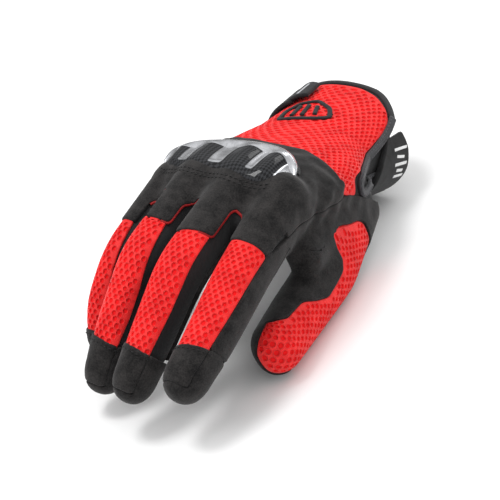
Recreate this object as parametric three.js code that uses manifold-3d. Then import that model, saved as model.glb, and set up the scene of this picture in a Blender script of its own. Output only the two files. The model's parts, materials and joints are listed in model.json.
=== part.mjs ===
// Motorcycle riding glove for the right hand, adult size L.
// Millimetres. The glove is laid out in a hand frame: origin at the middle finger's knuckle,
// +X to the thumb side, -Y to the fingertips, +Z out of the back of the hand.
// The finished glove is then tipped so that it rests on the cuff, the little finger and the thumb.
import * as THREE from 'three';
import ManifoldModule from 'manifold-3d';

// Wall thicknesses and clearances
const FINGER_WALL = 1.7;
const HAND_WALL = 2.0;
const BINDING_WALL = 3.0;
const STRAP_WALL = 1.8;
const GUARD_WALL = 2.2;
const SEAM_GAP = 0.35;
const HINGE_GAP = 0.5;

// Cuff and wrist, as stations along the hand
const BACK_PANEL_REAR = 50;
const SIDE_GUSSET_REAR = 86;
const PALM_REAR = 93;
const CUFF_REAR = 132;
const BINDING_WIDTH = 4;
const SLIT_FRONT = 88;

// Strap, as stations along the cuff
const STRAP_FRONT = 102;
const STRAP_REAR = 125;

// Outline of the hand: y, centre x, centre z, half width, height above, depth below, roll in degrees
const HAND_SECTIONS = [
  [-10, -7, -5.5, 39.0, 15.5, 15, 8.5],
  [8, -7, -5.5, 39.8, 16, 18, 8.5],
  [30, -6, -4.5, 41, 16, 20, 7.5],
  [60, -4, -4, 38, 16.5, 22, 5],
  [85, -5, -3, 31.5, 17, 20, 2],
  [105, -5.5, -2, 32.5, 20, 22, 0],
  [134, -6.5, -1, 35, 24, 26, 0],
];

// Fingers: where the knuckle is, the lengths of the three bones, and how far the finger points outwards
// in degrees; half widths and half heights at the knuckle, middle joint, end joint and tip;
// flex: bend at rest, then travel towards straight and towards the palm, for each hinge
const FINGERS = {
  index: {
    knuckle: [22.5, 1.5, 0.5],
    lengths: [46.5, 27, 27],
    outwards: 2,
    widths: [9.8, 10.2, 9.8, 9],
    heights: [11.2, 10.8, 9.8, 9],
    flex: [[31, 28, 12], [5, 5, 40], [8, 6, 24]],
  },
  middle: {
    knuckle: [1, 1, 0],
    lengths: [48.5, 30, 27],
    outwards: 0,
    widths: [9.9, 10.3, 9.9, 9],
    heights: [11.2, 10.8, 9.8, 9],
    flex: [[26, 24, 30], [24, 22, 48], [15, 14, 28]],
  },
  ring: {
    knuckle: [-20, 6, -2],
    lengths: [46.5, 30, 28],
    outwards: -1.5,
    widths: [9.3, 9.7, 9.3, 8.8],
    heights: [10.8, 10.2, 9.4, 8.8],
    flex: [[28, 26, 30], [30, 28, 48], [12, 11, 28]],
  },
  pinky: {
    knuckle: [-37.5, 15, -9],
    lengths: [40.5, 23.5, 27.5],
    outwards: -8,
    widths: [7.3, 9.2, 8.8, 8.2],
    heights: [9.8, 9.4, 8.8, 8.2],
    flex: [[35, 30, 30], [31, 28, 46], [16, 14, 26]],
  },
};
const STRIP_EDGE = 33;
const TONGUE_SHARE = 0.64;
const FINGER_SIDES = [70, 11.9, -9.9, -30.4, -70];

// Thumb: root, bone lengths, and how far each bone points outwards and down; its back faces outwards
const THUMB = {
  root: [28.5, 72.5, -17.5],
  lengths: [46, 36, 34],
  outwards: [9, 3, 6],
  down: [22, 16, 13],
  widths: [13, 12.4, 11.4, 10.5],
  heights: [13, 12, 11, 10],
  back: [0.85, 0, 0.53],
  flex: [[0, 20, 10], [2, 12, 18, 1.5], [-4, 5, 26]],
  baseStart: 17,
};

const COLOURS = {
  mesh: { color: 0xd8232a, roughness: 0.72, metalness: 0 },
  suede: { color: 0x2b2a2c, roughness: 0.92, metalness: 0 },
  knit: { color: 0x19191b, roughness: 0.85, metalness: 0 },
  binding: { color: 0x101012, roughness: 0.7, metalness: 0 },
  foam: { color: 0x3a3a3c, roughness: 0.95, metalness: 0 },
  shell: { color: 0x1b1c20, roughness: 0.12, metalness: 0.4 },
  rubber: { color: 0x141416, roughness: 0.45, metalness: 0 },
  strap: { color: 0x1a1a1c, roughness: 0.6, metalness: 0 },
  hook: { color: 0x0c0c0d, roughness: 0.95, metalness: 0 },
};

const wasm = await ManifoldModule();
wasm.setup();
const { Manifold, Mesh: ManifoldMesh } = wasm;

const radians = THREE.MathUtils.degToRad;
const slope = (degrees) => Math.tan(radians(degrees));
const vector = (p) => new THREE.Vector3(...p);

// Joints and tip of a finger, bone by bone from its root
function bonePoints(root, lengths, outwards, down) {
  const points = [vector(root)];
  lengths.forEach((length, k) => {
    const reach = length * Math.cos(radians(down[k]));
    const side = radians(outwards[k]);
    points.push(points[k].clone().add(
      new THREE.Vector3(reach * Math.sin(side), -reach * Math.cos(side), -length * Math.sin(radians(down[k])))));
  });
  return points.map((point) => point.toArray());
}

for (const finger of Object.values(FINGERS)) {
  const [knuckle, middle, end] = finger.flex.map(([rest]) => rest);
  const down = [knuckle, knuckle + middle, knuckle + middle + end];
  finger.points = bonePoints(finger.knuckle, finger.lengths, down.map(() => finger.outwards), down);
}
THUMB.points = bonePoints(THUMB.root, THUMB.lengths, THUMB.outwards, THUMB.down);

// ---------------------------------------------------------------- solids

function signedVolume(positions, triangles) {
  let sum = 0;
  for (let i = 0; i < triangles.length; i += 3) {
    const [a, b, c] = [0, 1, 2].map((k) => vector(positions.slice(3 * triangles[i + k], 3 * triangles[i + k] + 3)));
    sum += a.dot(b.cross(c));
  }
  return sum / 6;
}

// A closed sheet: place(u, v, depth) gives the outer skin at depth 0 and the inner skin at depth 1
function sheet(place, along, across) {
  const positions = [];
  const rowLength = across + 1;
  const layer = (along + 1) * rowLength;
  for (const depth of [0, 1]) {
    for (let i = 0; i <= along; i += 1) {
      for (let j = 0; j <= across; j += 1) {
        positions.push(...place(i / along, j / across, depth).toArray());
      }
    }
  }
  const triangles = [];
  const quad = (a, b, c, d) => triangles.push(a, b, c, a, c, d);
  const at = (i, j, depth) => depth * layer + i * rowLength + j;
  for (let i = 0; i < along; i += 1) {
    for (let j = 0; j < across; j += 1) {
      quad(at(i, j, 0), at(i + 1, j, 0), at(i + 1, j + 1, 0), at(i, j + 1, 0));
      quad(at(i, j, 1), at(i, j + 1, 1), at(i + 1, j + 1, 1), at(i + 1, j, 1));
    }
  }
  for (let i = 0; i < along; i += 1) {
    quad(at(i, 0, 0), at(i, 0, 1), at(i + 1, 0, 1), at(i + 1, 0, 0));
    quad(at(i + 1, across, 0), at(i + 1, across, 1), at(i, across, 1), at(i, across, 0));
  }
  for (let j = 0; j < across; j += 1) {
    quad(at(0, j + 1, 0), at(0, j + 1, 1), at(0, j, 1), at(0, j, 0));
    quad(at(along, j, 0), at(along, j, 1), at(along, j + 1, 1), at(along, j + 1, 0));
  }
  if (signedVolume(positions, triangles) < 0) {
    triangles.reverse();
  }
  const geometry = new THREE.BufferGeometry();
  geometry.setAttribute('position', new THREE.Float32BufferAttribute(positions, 3));
  geometry.setIndex(triangles);
  return geometry;
}

function toManifold(geometry) {
  const position = geometry.getAttribute('position');
  const index = geometry.index ? geometry.index.array : Uint32Array.from({ length: position.count }, (_, i) => i);
  const mesh = new ManifoldMesh({
    numProp: 3,
    vertProperties: Float32Array.from(position.array),
    triVerts: Uint32Array.from(index),
  });
  mesh.merge();
  return new Manifold(mesh);
}

function fromManifold(solid) {
  const mesh = solid.getMesh();
  const geometry = new THREE.BufferGeometry();
  geometry.setAttribute('position', new THREE.Float32BufferAttribute(mesh.vertProperties, 3));
  geometry.setIndex(Array.from(mesh.triVerts));
  return geometry;
}

function cut(geometry, cutters) {
  let solid = toManifold(geometry);
  for (const cutter of cutters) {
    solid = solid.subtract(cutter);
  }
  const bodies = solid.decompose().sort((a, b) => b.volume() - a.volume());
  return fromManifold(bodies[0]);
}

const glove = new THREE.Group();
glove.name = 'glove';

function add(name, look, geometry) {
  geometry.computeVertexNormals();
  const mesh = new THREE.Mesh(geometry, new THREE.MeshStandardMaterial(COLOURS[look]));
  mesh.name = name;
  glove.add(mesh);
}

// ---------------------------------------------------------------- outlines

const ROUNDNESS = 2.4;
const rounded = (value) => Math.sign(value) * Math.abs(value) ** (2 / ROUNDNESS);

// A finger segment between two joints; heights are measured from the hinge line
function segment(points, widths, heights, k, flexAxis, closedTip = false) {
  const start = vector(points[k]);
  const end = vector(points[k + 1]);
  const direction = end.clone().sub(start);
  const length = direction.length();
  direction.normalize();
  const back = direction.clone().cross(flexAxis).normalize();
  const side = back.clone().cross(direction).normalize();
  const domeStart = length * 0.55;
  const size = (s) => {
    const t = THREE.MathUtils.clamp(s / length, 0, 1);
    const dome = closedTip && s > domeStart ? (s - domeStart) / (length - domeStart) : 0;
    const taper = Math.sqrt(Math.max(1 - dome ** 2.2, 0));
    const width = THREE.MathUtils.lerp(widths[k], widths[k + 1], t);
    const height = THREE.MathUtils.lerp(heights[k], heights[k + 1], t);
    return [width * taper, height * taper];
  };
  const height = (s, angle, depth) => Math.max(size(s)[1] - depth, 0.5) * rounded(Math.sin(radians(angle)));
  const place = (s, angle, depth) => {
    const half = Math.max(size(s)[0] - depth, 0.5);
    return start.clone()
      .addScaledVector(direction, s)
      .addScaledVector(side, half * rounded(Math.cos(radians(angle))))
      .addScaledVector(back, height(s, angle, depth));
  };
  return { start, end, length, direction, back, side, place, height };
}

// The far and near ends of a segment are bevelled below and above the hinge line for its travel
function bevelled(part, station, outwards, { below, above, gap }) {
  return (angle, depth) => {
    const z = part.height(station, angle, depth);
    const retreat = z < 0 ? -z * slope(below) : z * slope(above);
    return station + outwards * (gap + retreat);
  };
}

// A wall panel on a segment, from one end line to the other, between two angles round the outline
function panel(part, from, to, angles, wall, along, across, power = 1) {
  return sheet((u, v, inner) => {
    const angle = THREE.MathUtils.lerp(angles[0], angles[1], v);
    const depth = inner * wall;
    const s = THREE.MathUtils.lerp(from(angle, depth), to(angle, depth), u ** power);
    return part.place(s, angle, depth);
  }, along, across);
}

function handSection(y) {
  let k = 0;
  while (k < HAND_SECTIONS.length - 2 && y > HAND_SECTIONS[k + 1][0]) {
    k += 1;
  }
  const [a, b] = [HAND_SECTIONS[k], HAND_SECTIONS[k + 1]];
  const t = (y - a[0]) / (b[0] - a[0]);
  return a.map((value, i) => THREE.MathUtils.lerp(value, b[i], t));
}

// A point on the hand's outline; 0 is the thumb side, 90 the back, 270 the palm
function onHand(y, angle, depth) {
  const [, cx, cz, half, up, down, roll] = handSection(y);
  const sine = rounded(Math.sin(radians(angle)));
  const across = (half - depth) * rounded(Math.cos(radians(angle)));
  const height = sine * ((sine > 0 ? up : down) - depth);
  const turn = radians(roll);
  return new THREE.Vector3(
    cx + across * Math.cos(turn) - height * Math.sin(turn),
    y,
    cz + across * Math.sin(turn) + height * Math.cos(turn),
  );
}

// A panel on the hand: stations y, angles and depths may be numbers or functions of the other way
function handPanel(ys, angles, depths, along, across) {
  const value = (entry, t) => (typeof entry === 'function' ? entry(t) : entry);
  return sheet((u, v, inner) => {
    const angle = THREE.MathUtils.lerp(value(angles[0], u), value(angles[1], u), v);
    const y = THREE.MathUtils.lerp(value(ys[0], v), value(ys[1], v), u);
    const depth = depths[inner];
    return onHand(y, angle, typeof depth === 'function' ? depth(u, v) : depth);
  }, along, across);
}

// ---------------------------------------------------------------- clearances cut from the hand

const xAxis = new THREE.Vector3(1, 0, 0);
const yAxis = new THREE.Vector3(0, 1, 0);
const zAxis = new THREE.Vector3(0, 0, 1);

// Everything ahead of a knuckle's hinge, over one finger's width, with the palm side swept back
function knuckleClearance(finger, xHigh, xLow) {
  const [, y, z] = finger.points[0];
  const [bend, , curl] = finger.flex[0];
  const reach = 60;
  const front = y + HINGE_GAP;
  const outline = new THREE.Shape([
    new THREE.Vector2(front, z),
    new THREE.Vector2(front, z + reach),
    new THREE.Vector2(-reach, z + reach),
    new THREE.Vector2(-reach, z - reach),
    new THREE.Vector2(front + reach * slope((bend + curl) / 2 + 1), z - reach),
  ]);
  const block = new THREE.ExtrudeGeometry(outline, { depth: xHigh - xLow, bevelEnabled: false });
  block.applyMatrix4(new THREE.Matrix4().makeBasis(yAxis, zAxis, xAxis).setPosition(xLow, 0, 0));
  return toManifold(block);
}

const fingerNames = Object.keys(FINGERS);
const knuckleCuts = fingerNames.map((name, i) => (
  knuckleClearance(FINGERS[name], FINGER_SIDES[i], FINGER_SIDES[i + 1])
));

const thumbBack = vector(THUMB.back);
const thumbPoints = THUMB.points.map(vector);
const thumbAxis = thumbBack.clone().cross(thumbPoints[2].clone().sub(thumbPoints[1])).normalize();
const thumbRootAxis = thumbBack.clone().cross(thumbPoints[1].clone().sub(thumbPoints[0])).normalize();

// The thumb base sweeps through the hand's side, so the hand is open there
function thumbClearance(turn) {
  const [root, knuckle] = thumbPoints;
  const spoke = knuckle.clone().sub(root).applyAxisAngle(thumbRootAxis, radians(turn));
  const length = spoke.length() + 26;
  const radius = THUMB.widths[0] + 1.6;
  const rod = new THREE.CylinderGeometry(radius, radius, length, 20, 1);
  rod.applyQuaternion(new THREE.Quaternion().setFromUnitVectors(yAxis, spoke.clone().normalize()));
  const middle = root.clone().addScaledVector(spoke.normalize(), length / 2 + THUMB.baseStart - 6);
  rod.translate(middle.x, middle.y, middle.z);
  return toManifold(rod);
}
const thumbCuts = [-THUMB.flex[0][1], 0, THUMB.flex[0][2]].map(thumbClearance);

// ---------------------------------------------------------------- hand, back and palm

const FRONT = -9;
const BACK_EDGE = 16;
const GUSSET_EDGE = 13.4;
const seamed = SEAM_GAP;

add('back_panel', 'suede', cut(
  handPanel([FRONT, BACK_PANEL_REAR], [BACK_EDGE, 180 - BACK_EDGE], [0, HAND_WALL], 4, 12),
  knuckleCuts,
));
add('radial_gusset', 'suede', cut(
  handPanel([FRONT, SIDE_GUSSET_REAR], [-GUSSET_EDGE, BACK_EDGE - 0.9], [0, HAND_WALL], 6, 3),
  [...knuckleCuts, ...thumbCuts],
));
add('ulnar_gusset', 'suede', cut(
  handPanel([FRONT, PALM_REAR], [180 - BACK_EDGE + 0.9, 180 + GUSSET_EDGE], [0, HAND_WALL], 6, 3),
  knuckleCuts,
));
add('palm_panel', 'suede', cut(
  handPanel([FRONT, PALM_REAR], [180 + GUSSET_EDGE + 0.9, 360 - GUSSET_EDGE - 0.9], [0, HAND_WALL], 6, 12),
  [...knuckleCuts, ...thumbCuts],
));
add('palm_heel_pad', 'foam', handPanel(
  [62, 86], [205, 262], [(u, v) => -1.4 - 2.4 * Math.sin(Math.PI * u) ** 0.5 * Math.sin(Math.PI * v) ** 0.5, -1.2], 4, 6,
));

// ---------------------------------------------------------------- cuff

const BINDING_FRONT = CUFF_REAR - BINDING_WIDTH;
const slitAngles = [-GUSSET_EDGE, BACK_EDGE];
add('cuff_back_mesh', 'mesh', handPanel(
  [BACK_PANEL_REAR + seamed, BINDING_FRONT - seamed], [BACK_EDGE, 180 - BACK_EDGE], [0, HAND_WALL], 6, 12,
));
add('cuff_palm_panel', 'knit', handPanel(
  [PALM_REAR + seamed, BINDING_FRONT - seamed],
  [180 - BACK_EDGE + 0.9, 360 - GUSSET_EDGE - 0.9],
  [0, HAND_WALL],
  4,
  14,
));
add('cuff_binding', 'binding', handPanel(
  [BINDING_FRONT, CUFF_REAR], [BACK_EDGE, 360 - GUSSET_EDGE - 0.9], [-0.5, BINDING_WALL - 0.5], 1, 26,
));

// Binding round the slit at the thumb side: down one edge, round the front and back up the other
function slitBinding(u, v, inner) {
  const [low, high] = [slitAngles[0] + 3.2, slitAngles[1] - 3.2];
  const straight = BINDING_FRONT - SLIT_FRONT - 8;
  const bandAngle = 2.2 * (v - 0.5);
  const bandWidth = 3 * (v - 0.5);
  const centre = (low + high) / 2;
  const spread = (high - low) / 2;
  const depth = inner * HAND_WALL - 0.3;
  if (u < 0.35) {
    return onHand(BINDING_FRONT - 1 - (u / 0.35) * straight, high + bandAngle, depth);
  }
  if (u > 0.65) {
    return onHand(BINDING_FRONT - 1 - ((1 - u) / 0.35) * straight, low - bandAngle, depth);
  }
  const turn = Math.PI * (u - 0.35) / 0.3;
  const y = SLIT_FRONT + 7 - (6 + bandWidth) * Math.sin(turn);
  return onHand(y, centre + (spread + bandAngle) * Math.cos(turn), depth);
}
add('slit_binding', 'binding', sheet(slitBinding, 20, 2));
add('slit_gusset', 'knit', handPanel(
  [SLIT_FRONT - 1, BINDING_FRONT - 2], [-19, 21], [HAND_WALL + 0.5, HAND_WALL + 1.7], 4, 4,
));

// ---------------------------------------------------------------- knuckle guard

// The guard follows the line of the knuckles, which falls back towards the little finger
const guardMiddle = (v) => THREE.MathUtils.lerp(6.5, 13.5, THREE.MathUtils.smoothstep(v, 0.35, 1));
const guardSpan = [27, 160];
const dome = (u, v) => {
  const cell = (v * 4) % 1;
  return Math.sin(Math.PI * u) * Math.sin(Math.PI * (v > 0.999 ? 1 : cell));
};
add('knuckle_foam', 'foam', handPanel(
  [(v) => guardMiddle(v) - 2.5, (v) => guardMiddle(v) + 9], [guardSpan[0] + 3, guardSpan[1] - 3], [-2.6, -0.4], 2, 12,
));
add('knuckle_guard', 'shell', handPanel(
  [(v) => guardMiddle(v) - 10.5, (v) => guardMiddle(v) + 11],
  guardSpan,
  [(u, v) => -3 - GUARD_WALL - 1.2 * Math.sin(Math.PI * u) - 2.6 * dome(u, v), -3],
  5,
  24,
));
add('cuff_badge', 'rubber', handPanel(
  [96, 119], [(u) => 101 - 22 * Math.sin(Math.PI * u) ** 0.6 - 3, (u) => 101 + 22 * Math.sin(Math.PI * u) ** 0.6 + 3],
  [-2, -0.4], 6, 6,
));

// ---------------------------------------------------------------- wrist strap

const strapYs = [STRAP_FRONT, STRAP_REAR];
const FOLD_ROOT = -45;
const FOLD_SIDE = -131;
const strapOuter = (offset) => [-offset - STRAP_WALL, -offset];
add('strap_anchor', 'strap', handPanel(strapYs, [14, FOLD_ROOT + 0.7], strapOuter(1), 2, 6));
add('strap_flap', 'strap', handPanel(strapYs, [FOLD_ROOT - 0.7, FOLD_SIDE + 1.2], strapOuter(1), 2, 9));
add('strap_end', 'strap', handPanel(strapYs, [FOLD_SIDE - 1.2, -204], strapOuter(2.6), 2, 8));
add('strap_hook_patch', 'hook', handPanel(
  [STRAP_FRONT + 2, STRAP_REAR - 2], [-150, -200], [-2.3, -1.5], 1, 6,
));
add('strap_loop_patch', 'hook', handPanel(
  [STRAP_FRONT - 1, STRAP_REAR - 1], [-145, -206], [-1.2, -0.3], 1, 7,
));
add('strap_pull_tab', 'rubber', handPanel([STRAP_FRONT + 3, STRAP_REAR - 3], [-204.8, -214], strapOuter(2.6), 2, 2));

// ---------------------------------------------------------------- fingers

const halfBend = ([bend, straighten, curl, gap = HINGE_GAP]) => ({
  below: (bend + curl) / 2 + 1,
  above: Math.max((straighten - bend) / 2 + 0.5, 0.5),
  gap,
});

for (const [name, finger] of Object.entries(FINGERS)) {
  const bends = finger.flex.map(halfBend);
  const [near, mid, far] = [0, 1, 2].map((k) => (
    segment(finger.points, finger.widths, finger.heights, k, xAxis, k === 2)
  ));
  const start = (part, bend) => bevelled(part, 0, 1, bend);
  const end = (part, bend) => bevelled(part, part.length, -1, bend);
  const strip = [STRIP_EDGE, 180 - STRIP_EDGE];
  const sleeve = [180 - STRIP_EDGE + 2.5, 360 + STRIP_EDGE - 2.5];
  const tongueEnd = near.length * TONGUE_SHARE;

  add(`${name}_knuckle_tongue`, 'suede', panel(
    near, start(near, bends[0]), () => tongueEnd, strip, FINGER_WALL, 3, 5,
  ));
  add(`${name}_mesh_near`, 'mesh', panel(
    near, () => tongueEnd + seamed, end(near, bends[1]), strip, FINGER_WALL, 2, 5,
  ));
  add(`${name}_sleeve_near`, 'suede', panel(
    near, start(near, bends[0]), end(near, bends[1]), sleeve, FINGER_WALL, 3, 10,
  ));
  add(`${name}_mesh_mid`, 'mesh', panel(
    mid, start(mid, bends[1]), end(mid, bends[2]), strip, FINGER_WALL, 2, 5,
  ));
  add(`${name}_sleeve_mid`, 'suede', panel(
    mid, start(mid, bends[1]), end(mid, bends[2]), sleeve, FINGER_WALL, 2, 10,
  ));
  add(`${name}_cap_back`, 'suede', panel(
    far, start(far, bends[2]), () => far.length, [2, 178], FINGER_WALL, 6, 7, 0.7,
  ));
  add(`${name}_cap_front`, 'suede', panel(
    far, start(far, bends[2]), () => far.length, [182, 358], FINGER_WALL, 6, 7, 0.7,
  ));
}

// ---------------------------------------------------------------- thumb

const thumbBends = THUMB.flex.map(halfBend);
const [thumbBase, thumbNear, thumbFar] = [0, 1, 2].map((k) => (
  segment(THUMB.points, THUMB.widths, THUMB.heights, k, k === 0 ? thumbRootAxis : thumbAxis, k === 2)
));
const thumbBack0 = [22, 158];
const thumbFront = [160.5, 379.5];
const baseStart = () => THUMB.baseStart;
const baseEnd = bevelled(thumbBase, thumbBase.length, -1, thumbBends[1]);
const nearStart = bevelled(thumbNear, 0, 1, thumbBends[1]);
const nearEnd = bevelled(thumbNear, thumbNear.length, -1, thumbBends[2]);
const farStart = bevelled(thumbFar, 0, 1, thumbBends[2]);
add('thumb_base_mesh', 'mesh', panel(thumbBase, baseStart, baseEnd, thumbBack0, FINGER_WALL, 3, 6));
add('thumb_base_sleeve', 'suede', panel(thumbBase, baseStart, baseEnd, thumbFront, FINGER_WALL, 3, 9));
add('thumb_mesh', 'mesh', panel(thumbNear, nearStart, nearEnd, thumbBack0, FINGER_WALL, 2, 6));
add('thumb_sleeve', 'suede', panel(thumbNear, nearStart, nearEnd, thumbFront, FINGER_WALL, 2, 9));
add('thumb_cap_back', 'mesh', panel(thumbFar, farStart, () => thumbFar.length, [2, 178], FINGER_WALL, 6, 7, 0.7));
add('thumb_cap_front', 'suede', panel(thumbFar, farStart, () => thumbFar.length, [182, 358], FINGER_WALL, 6, 7, 0.7));

// ---------------------------------------------------------------- resting pose

function lowest(names, up) {
  let best = null;
  for (const mesh of glove.children.filter((child) => names.some((name) => child.name.startsWith(name)))) {
    const position = mesh.geometry.getAttribute('position');
    for (let i = 0; i < position.count; i += 1) {
      const point = new THREE.Vector3().fromBufferAttribute(position, i);
      if (best === null || point.dot(up) < best.dot(up)) {
        best = point;
      }
    }
  }
  return best;
}

let up = new THREE.Vector3(-0.2, -0.27, 1).normalize();
for (let round = 0; round < 6; round += 1) {
  const [cuff, finger, thumb] = [['cuff_'], ['pinky_'], ['thumb_']].map((names) => lowest(names, up));
  up = finger.sub(cuff).cross(thumb.sub(cuff)).normalize();
  up.multiplyScalar(Math.sign(up.z));
}
glove.quaternion.setFromUnitVectors(up, zAxis);
glove.updateMatrixWorld(true);
const extent = new THREE.Box3().setFromObject(glove, true);
const middle = extent.getCenter(new THREE.Vector3());
glove.position.set(-middle.x, -middle.y, -extent.min.z);

// Hinge lines, in the finished glove's own frame
glove.updateMatrixWorld(true);
const hingeLines = {};
const noteHinge = (name, point, axis) => {
  const direction = axis.clone().transformDirection(glove.matrixWorld);
  hingeLines[name] = { point: glove.localToWorld(point.clone()).toArray(), axis: direction.toArray() };
};
for (const [name, finger] of Object.entries(FINGERS)) {
  ['knuckle', 'middle', 'end'].forEach((joint, k) => noteHinge(`${name}_${joint}`, vector(finger.points[k]), xAxis));
}
noteHinge('thumb_root', thumbPoints[0], thumbRootAxis.clone().negate());
noteHinge('thumb_knuckle', thumbPoints[1], thumbAxis.clone().negate());
noteHinge('thumb_end', thumbPoints[2], thumbAxis.clone().negate());
const strapMiddle = (STRAP_FRONT + STRAP_REAR) / 2;
for (const [name, angle, offset] of [['strap_root', FOLD_ROOT, -2.9], ['strap_side', FOLD_SIDE, -2.7]]) {
  const line = onHand(STRAP_REAR, angle, offset).sub(onHand(STRAP_FRONT, angle, offset)).normalize();
  noteHinge(name, onHand(strapMiddle, angle, offset), line.negate());
}

const part = new THREE.Group();
part.name = 'riding_glove';
part.userData.hingeLines = hingeLines;
part.add(glove);
export default part;
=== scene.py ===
import json
import math

import bpy
import numpy as np
from mathutils import Matrix, Vector
from mathutils.geometry import delaunay_2d_cdt


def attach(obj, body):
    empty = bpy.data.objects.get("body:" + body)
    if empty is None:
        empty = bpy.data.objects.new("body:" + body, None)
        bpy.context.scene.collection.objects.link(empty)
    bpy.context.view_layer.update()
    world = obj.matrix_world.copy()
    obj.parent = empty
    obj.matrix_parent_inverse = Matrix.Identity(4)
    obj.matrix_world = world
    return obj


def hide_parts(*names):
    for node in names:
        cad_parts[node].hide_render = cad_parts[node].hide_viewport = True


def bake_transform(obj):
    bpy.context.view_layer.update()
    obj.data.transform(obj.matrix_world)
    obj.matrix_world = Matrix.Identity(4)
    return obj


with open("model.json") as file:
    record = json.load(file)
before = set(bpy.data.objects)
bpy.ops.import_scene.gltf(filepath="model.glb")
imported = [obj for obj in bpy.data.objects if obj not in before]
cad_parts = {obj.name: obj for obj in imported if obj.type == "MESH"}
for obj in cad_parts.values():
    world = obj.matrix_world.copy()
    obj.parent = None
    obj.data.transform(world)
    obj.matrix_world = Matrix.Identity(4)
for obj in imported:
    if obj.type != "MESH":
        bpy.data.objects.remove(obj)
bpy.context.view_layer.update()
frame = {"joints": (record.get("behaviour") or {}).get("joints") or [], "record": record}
rng = np.random.default_rng(7)

# ---------------------------------------------------------------- hand frame
# Millimetres: origin at the middle finger's knuckle, +X thumb side, -Y fingertips, +Z back of the hand.

X_AXIS = np.array([1.0, 0.0, 0.0])
KNUCKLES = {
    "index": (22.5, 1.5, 0.5), "middle": (1, 1, 0), "ring": (-20, 6, -2), "pinky": (-37.5, 15, -9),
}
TIPS = {
    "index": (23.2, -79.9, -56.2), "middle": (-1.7, -74.7, -66.8), "ring": (-23.0, -60.2, -74.9),
    "pinky": (-39.4, -29.5, -73.3),
}
FINGER_WIDTHS = {
    "index": (9.8, 10.4, 9.3, 7.5), "middle": (9.9, 10.3, 9.0, 7.0), "ring": (9.4, 10.0, 9.1, 7.3),
    "pinky": (9.2, 7.9, 8.0, 7.2),
}
FINGER_HEIGHTS = {
    "index": (11.8, 11.3, 10.4, 8.6), "middle": (11.8, 11.2, 10.2, 8.6), "ring": (11.4, 10.8, 9.8, 8.6),
    "pinky": (10.4, 9.6, 8.8, 7.8),
}
PALM_SIDE = {"index": 0.95, "middle": 0.76, "ring": 0.82, "pinky": 0.85}
THUMB_ROOT = (28.5, 72.5, -17.5)
THUMB_TIP = (40.4, -36.2, -51.6)
THUMB_WIDTHS = (11.0, 12.9, 11.8, 10.4)
THUMB_HEIGHTS = (8.0, 10.9, 10.4, 8.8)
THUMB_BACK = np.array([0.85, 0.0, 0.53])
# y, centre x, centre z, half width, height above, depth below, roll in degrees
HAND_SECTIONS = np.array([
    [-12, -7, -5.5, 38.0, 15.0, 14, 8.5],
    [8, -7, -5.5, 39.8, 16.0, 18, 8.5],
    [30, -6, -4.5, 41.0, 16.0, 20, 7.5],
    [60, -4, -4.0, 38.0, 16.5, 22, 5.0],
    [85, -5, -3.0, 31.5, 17.0, 20, 2.0],
    [105, -3.9, -2.0, 30.9, 20.0, 22, 0.0],
    [134, -4.5, -1.0, 33.0, 24.0, 26, 0.0],
    [140, -4.5, -1.0, 33.0, 24.0, 26, 0.0],
], float)


def hinge(name):
    """A joint's pivot (row frame, mm) and axis."""
    joint = next(j for j in frame["joints"] if j["name"] == name)
    return np.array(joint["pos_m"]) * 1000, np.array(joint["axis"])


def hand_to_row():
    """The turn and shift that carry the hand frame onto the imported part."""
    ours = [KNUCKLES[f] for f in KNUCKLES] + [THUMB_ROOT]
    theirs = [hinge(f"{f}_knuckle_bend")[0] for f in KNUCKLES] + [hinge("thumb_root_bend")[0]]
    ours, theirs = np.array(ours, float), np.array(theirs)
    u, _, vt = np.linalg.svd((ours - ours.mean(0)).T @ (theirs - theirs.mean(0)))
    flip = np.diag([1, 1, np.linalg.det(vt.T @ u.T)])
    turn = vt.T @ flip @ u.T
    return turn, theirs.mean(0) - turn @ ours.mean(0)


TURN, SHIFT = hand_to_row()


def to_row(points):
    """Hand-frame millimetres to row-frame metres."""
    return (np.asarray(points, float) @ TURN.T + SHIFT) / 1000


def to_hand(points_mm):
    return (np.asarray(points_mm, float) - SHIFT) @ TURN


def unit(v):
    v = np.asarray(v, float)
    return v / np.linalg.norm(v, axis=-1, keepdims=True)


def smoothstep(a, b, x):
    t = np.clip((x - a) / (b - a), 0, 1)
    return t * t * (3 - 2 * t)


# ---------------------------------------------------------------- solid shape of the gloved hand

CORNER = 9.0


def limb(points, widths, heights, axis, tip=12.0, palm=1.0):
    """A finger's tube: a centreline rounded at the joints, with a frame and a size at every station."""
    points = [np.array(p, float) for p in points]
    spans = [np.linalg.norm(b - a) for a, b in zip(points, points[1:])]
    marks = np.concatenate([[0], np.cumsum(spans)])
    line, along = [points[0]], [0.0]
    for k in (1, 2):
        before, after = unit(points[k] - points[k - 1]), unit(points[k + 1] - points[k])
        first, last = points[k] - before * CORNER, points[k] + after * CORNER
        for t in np.linspace(0, 1, 6):
            line.append((1 - t) ** 2 * first + 2 * t * (1 - t) * points[k] + t * t * last)
            along.append(marks[k] + (2 * t - 1) * CORNER)
    last = unit(points[3] - points[2])
    tip = min(tip, spans[2] - CORNER - 1.5)
    line.append(points[3] - last * tip)
    along.append(marks[3] - tip)
    line, along = np.array(line), np.array(along)
    tangent = np.empty_like(line)
    tangent[1:-1] = unit(line[2:] - line[:-2])
    tangent[0], tangent[-1] = unit(line[1] - line[0]), unit(line[-1] - line[-2])
    back = unit(np.cross(tangent, axis))
    side = np.cross(back, tangent)
    return dict(line=line, along=along, tangent=tangent, back=back, side=side, marks=marks, tip=tip,
                palm=palm, width=np.interp(along, marks, widths), height=np.interp(along, marks, heights),
                low=line.min(0) - BOX_MARGIN, high=line.max(0) + BOX_MARGIN, points=points)


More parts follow.
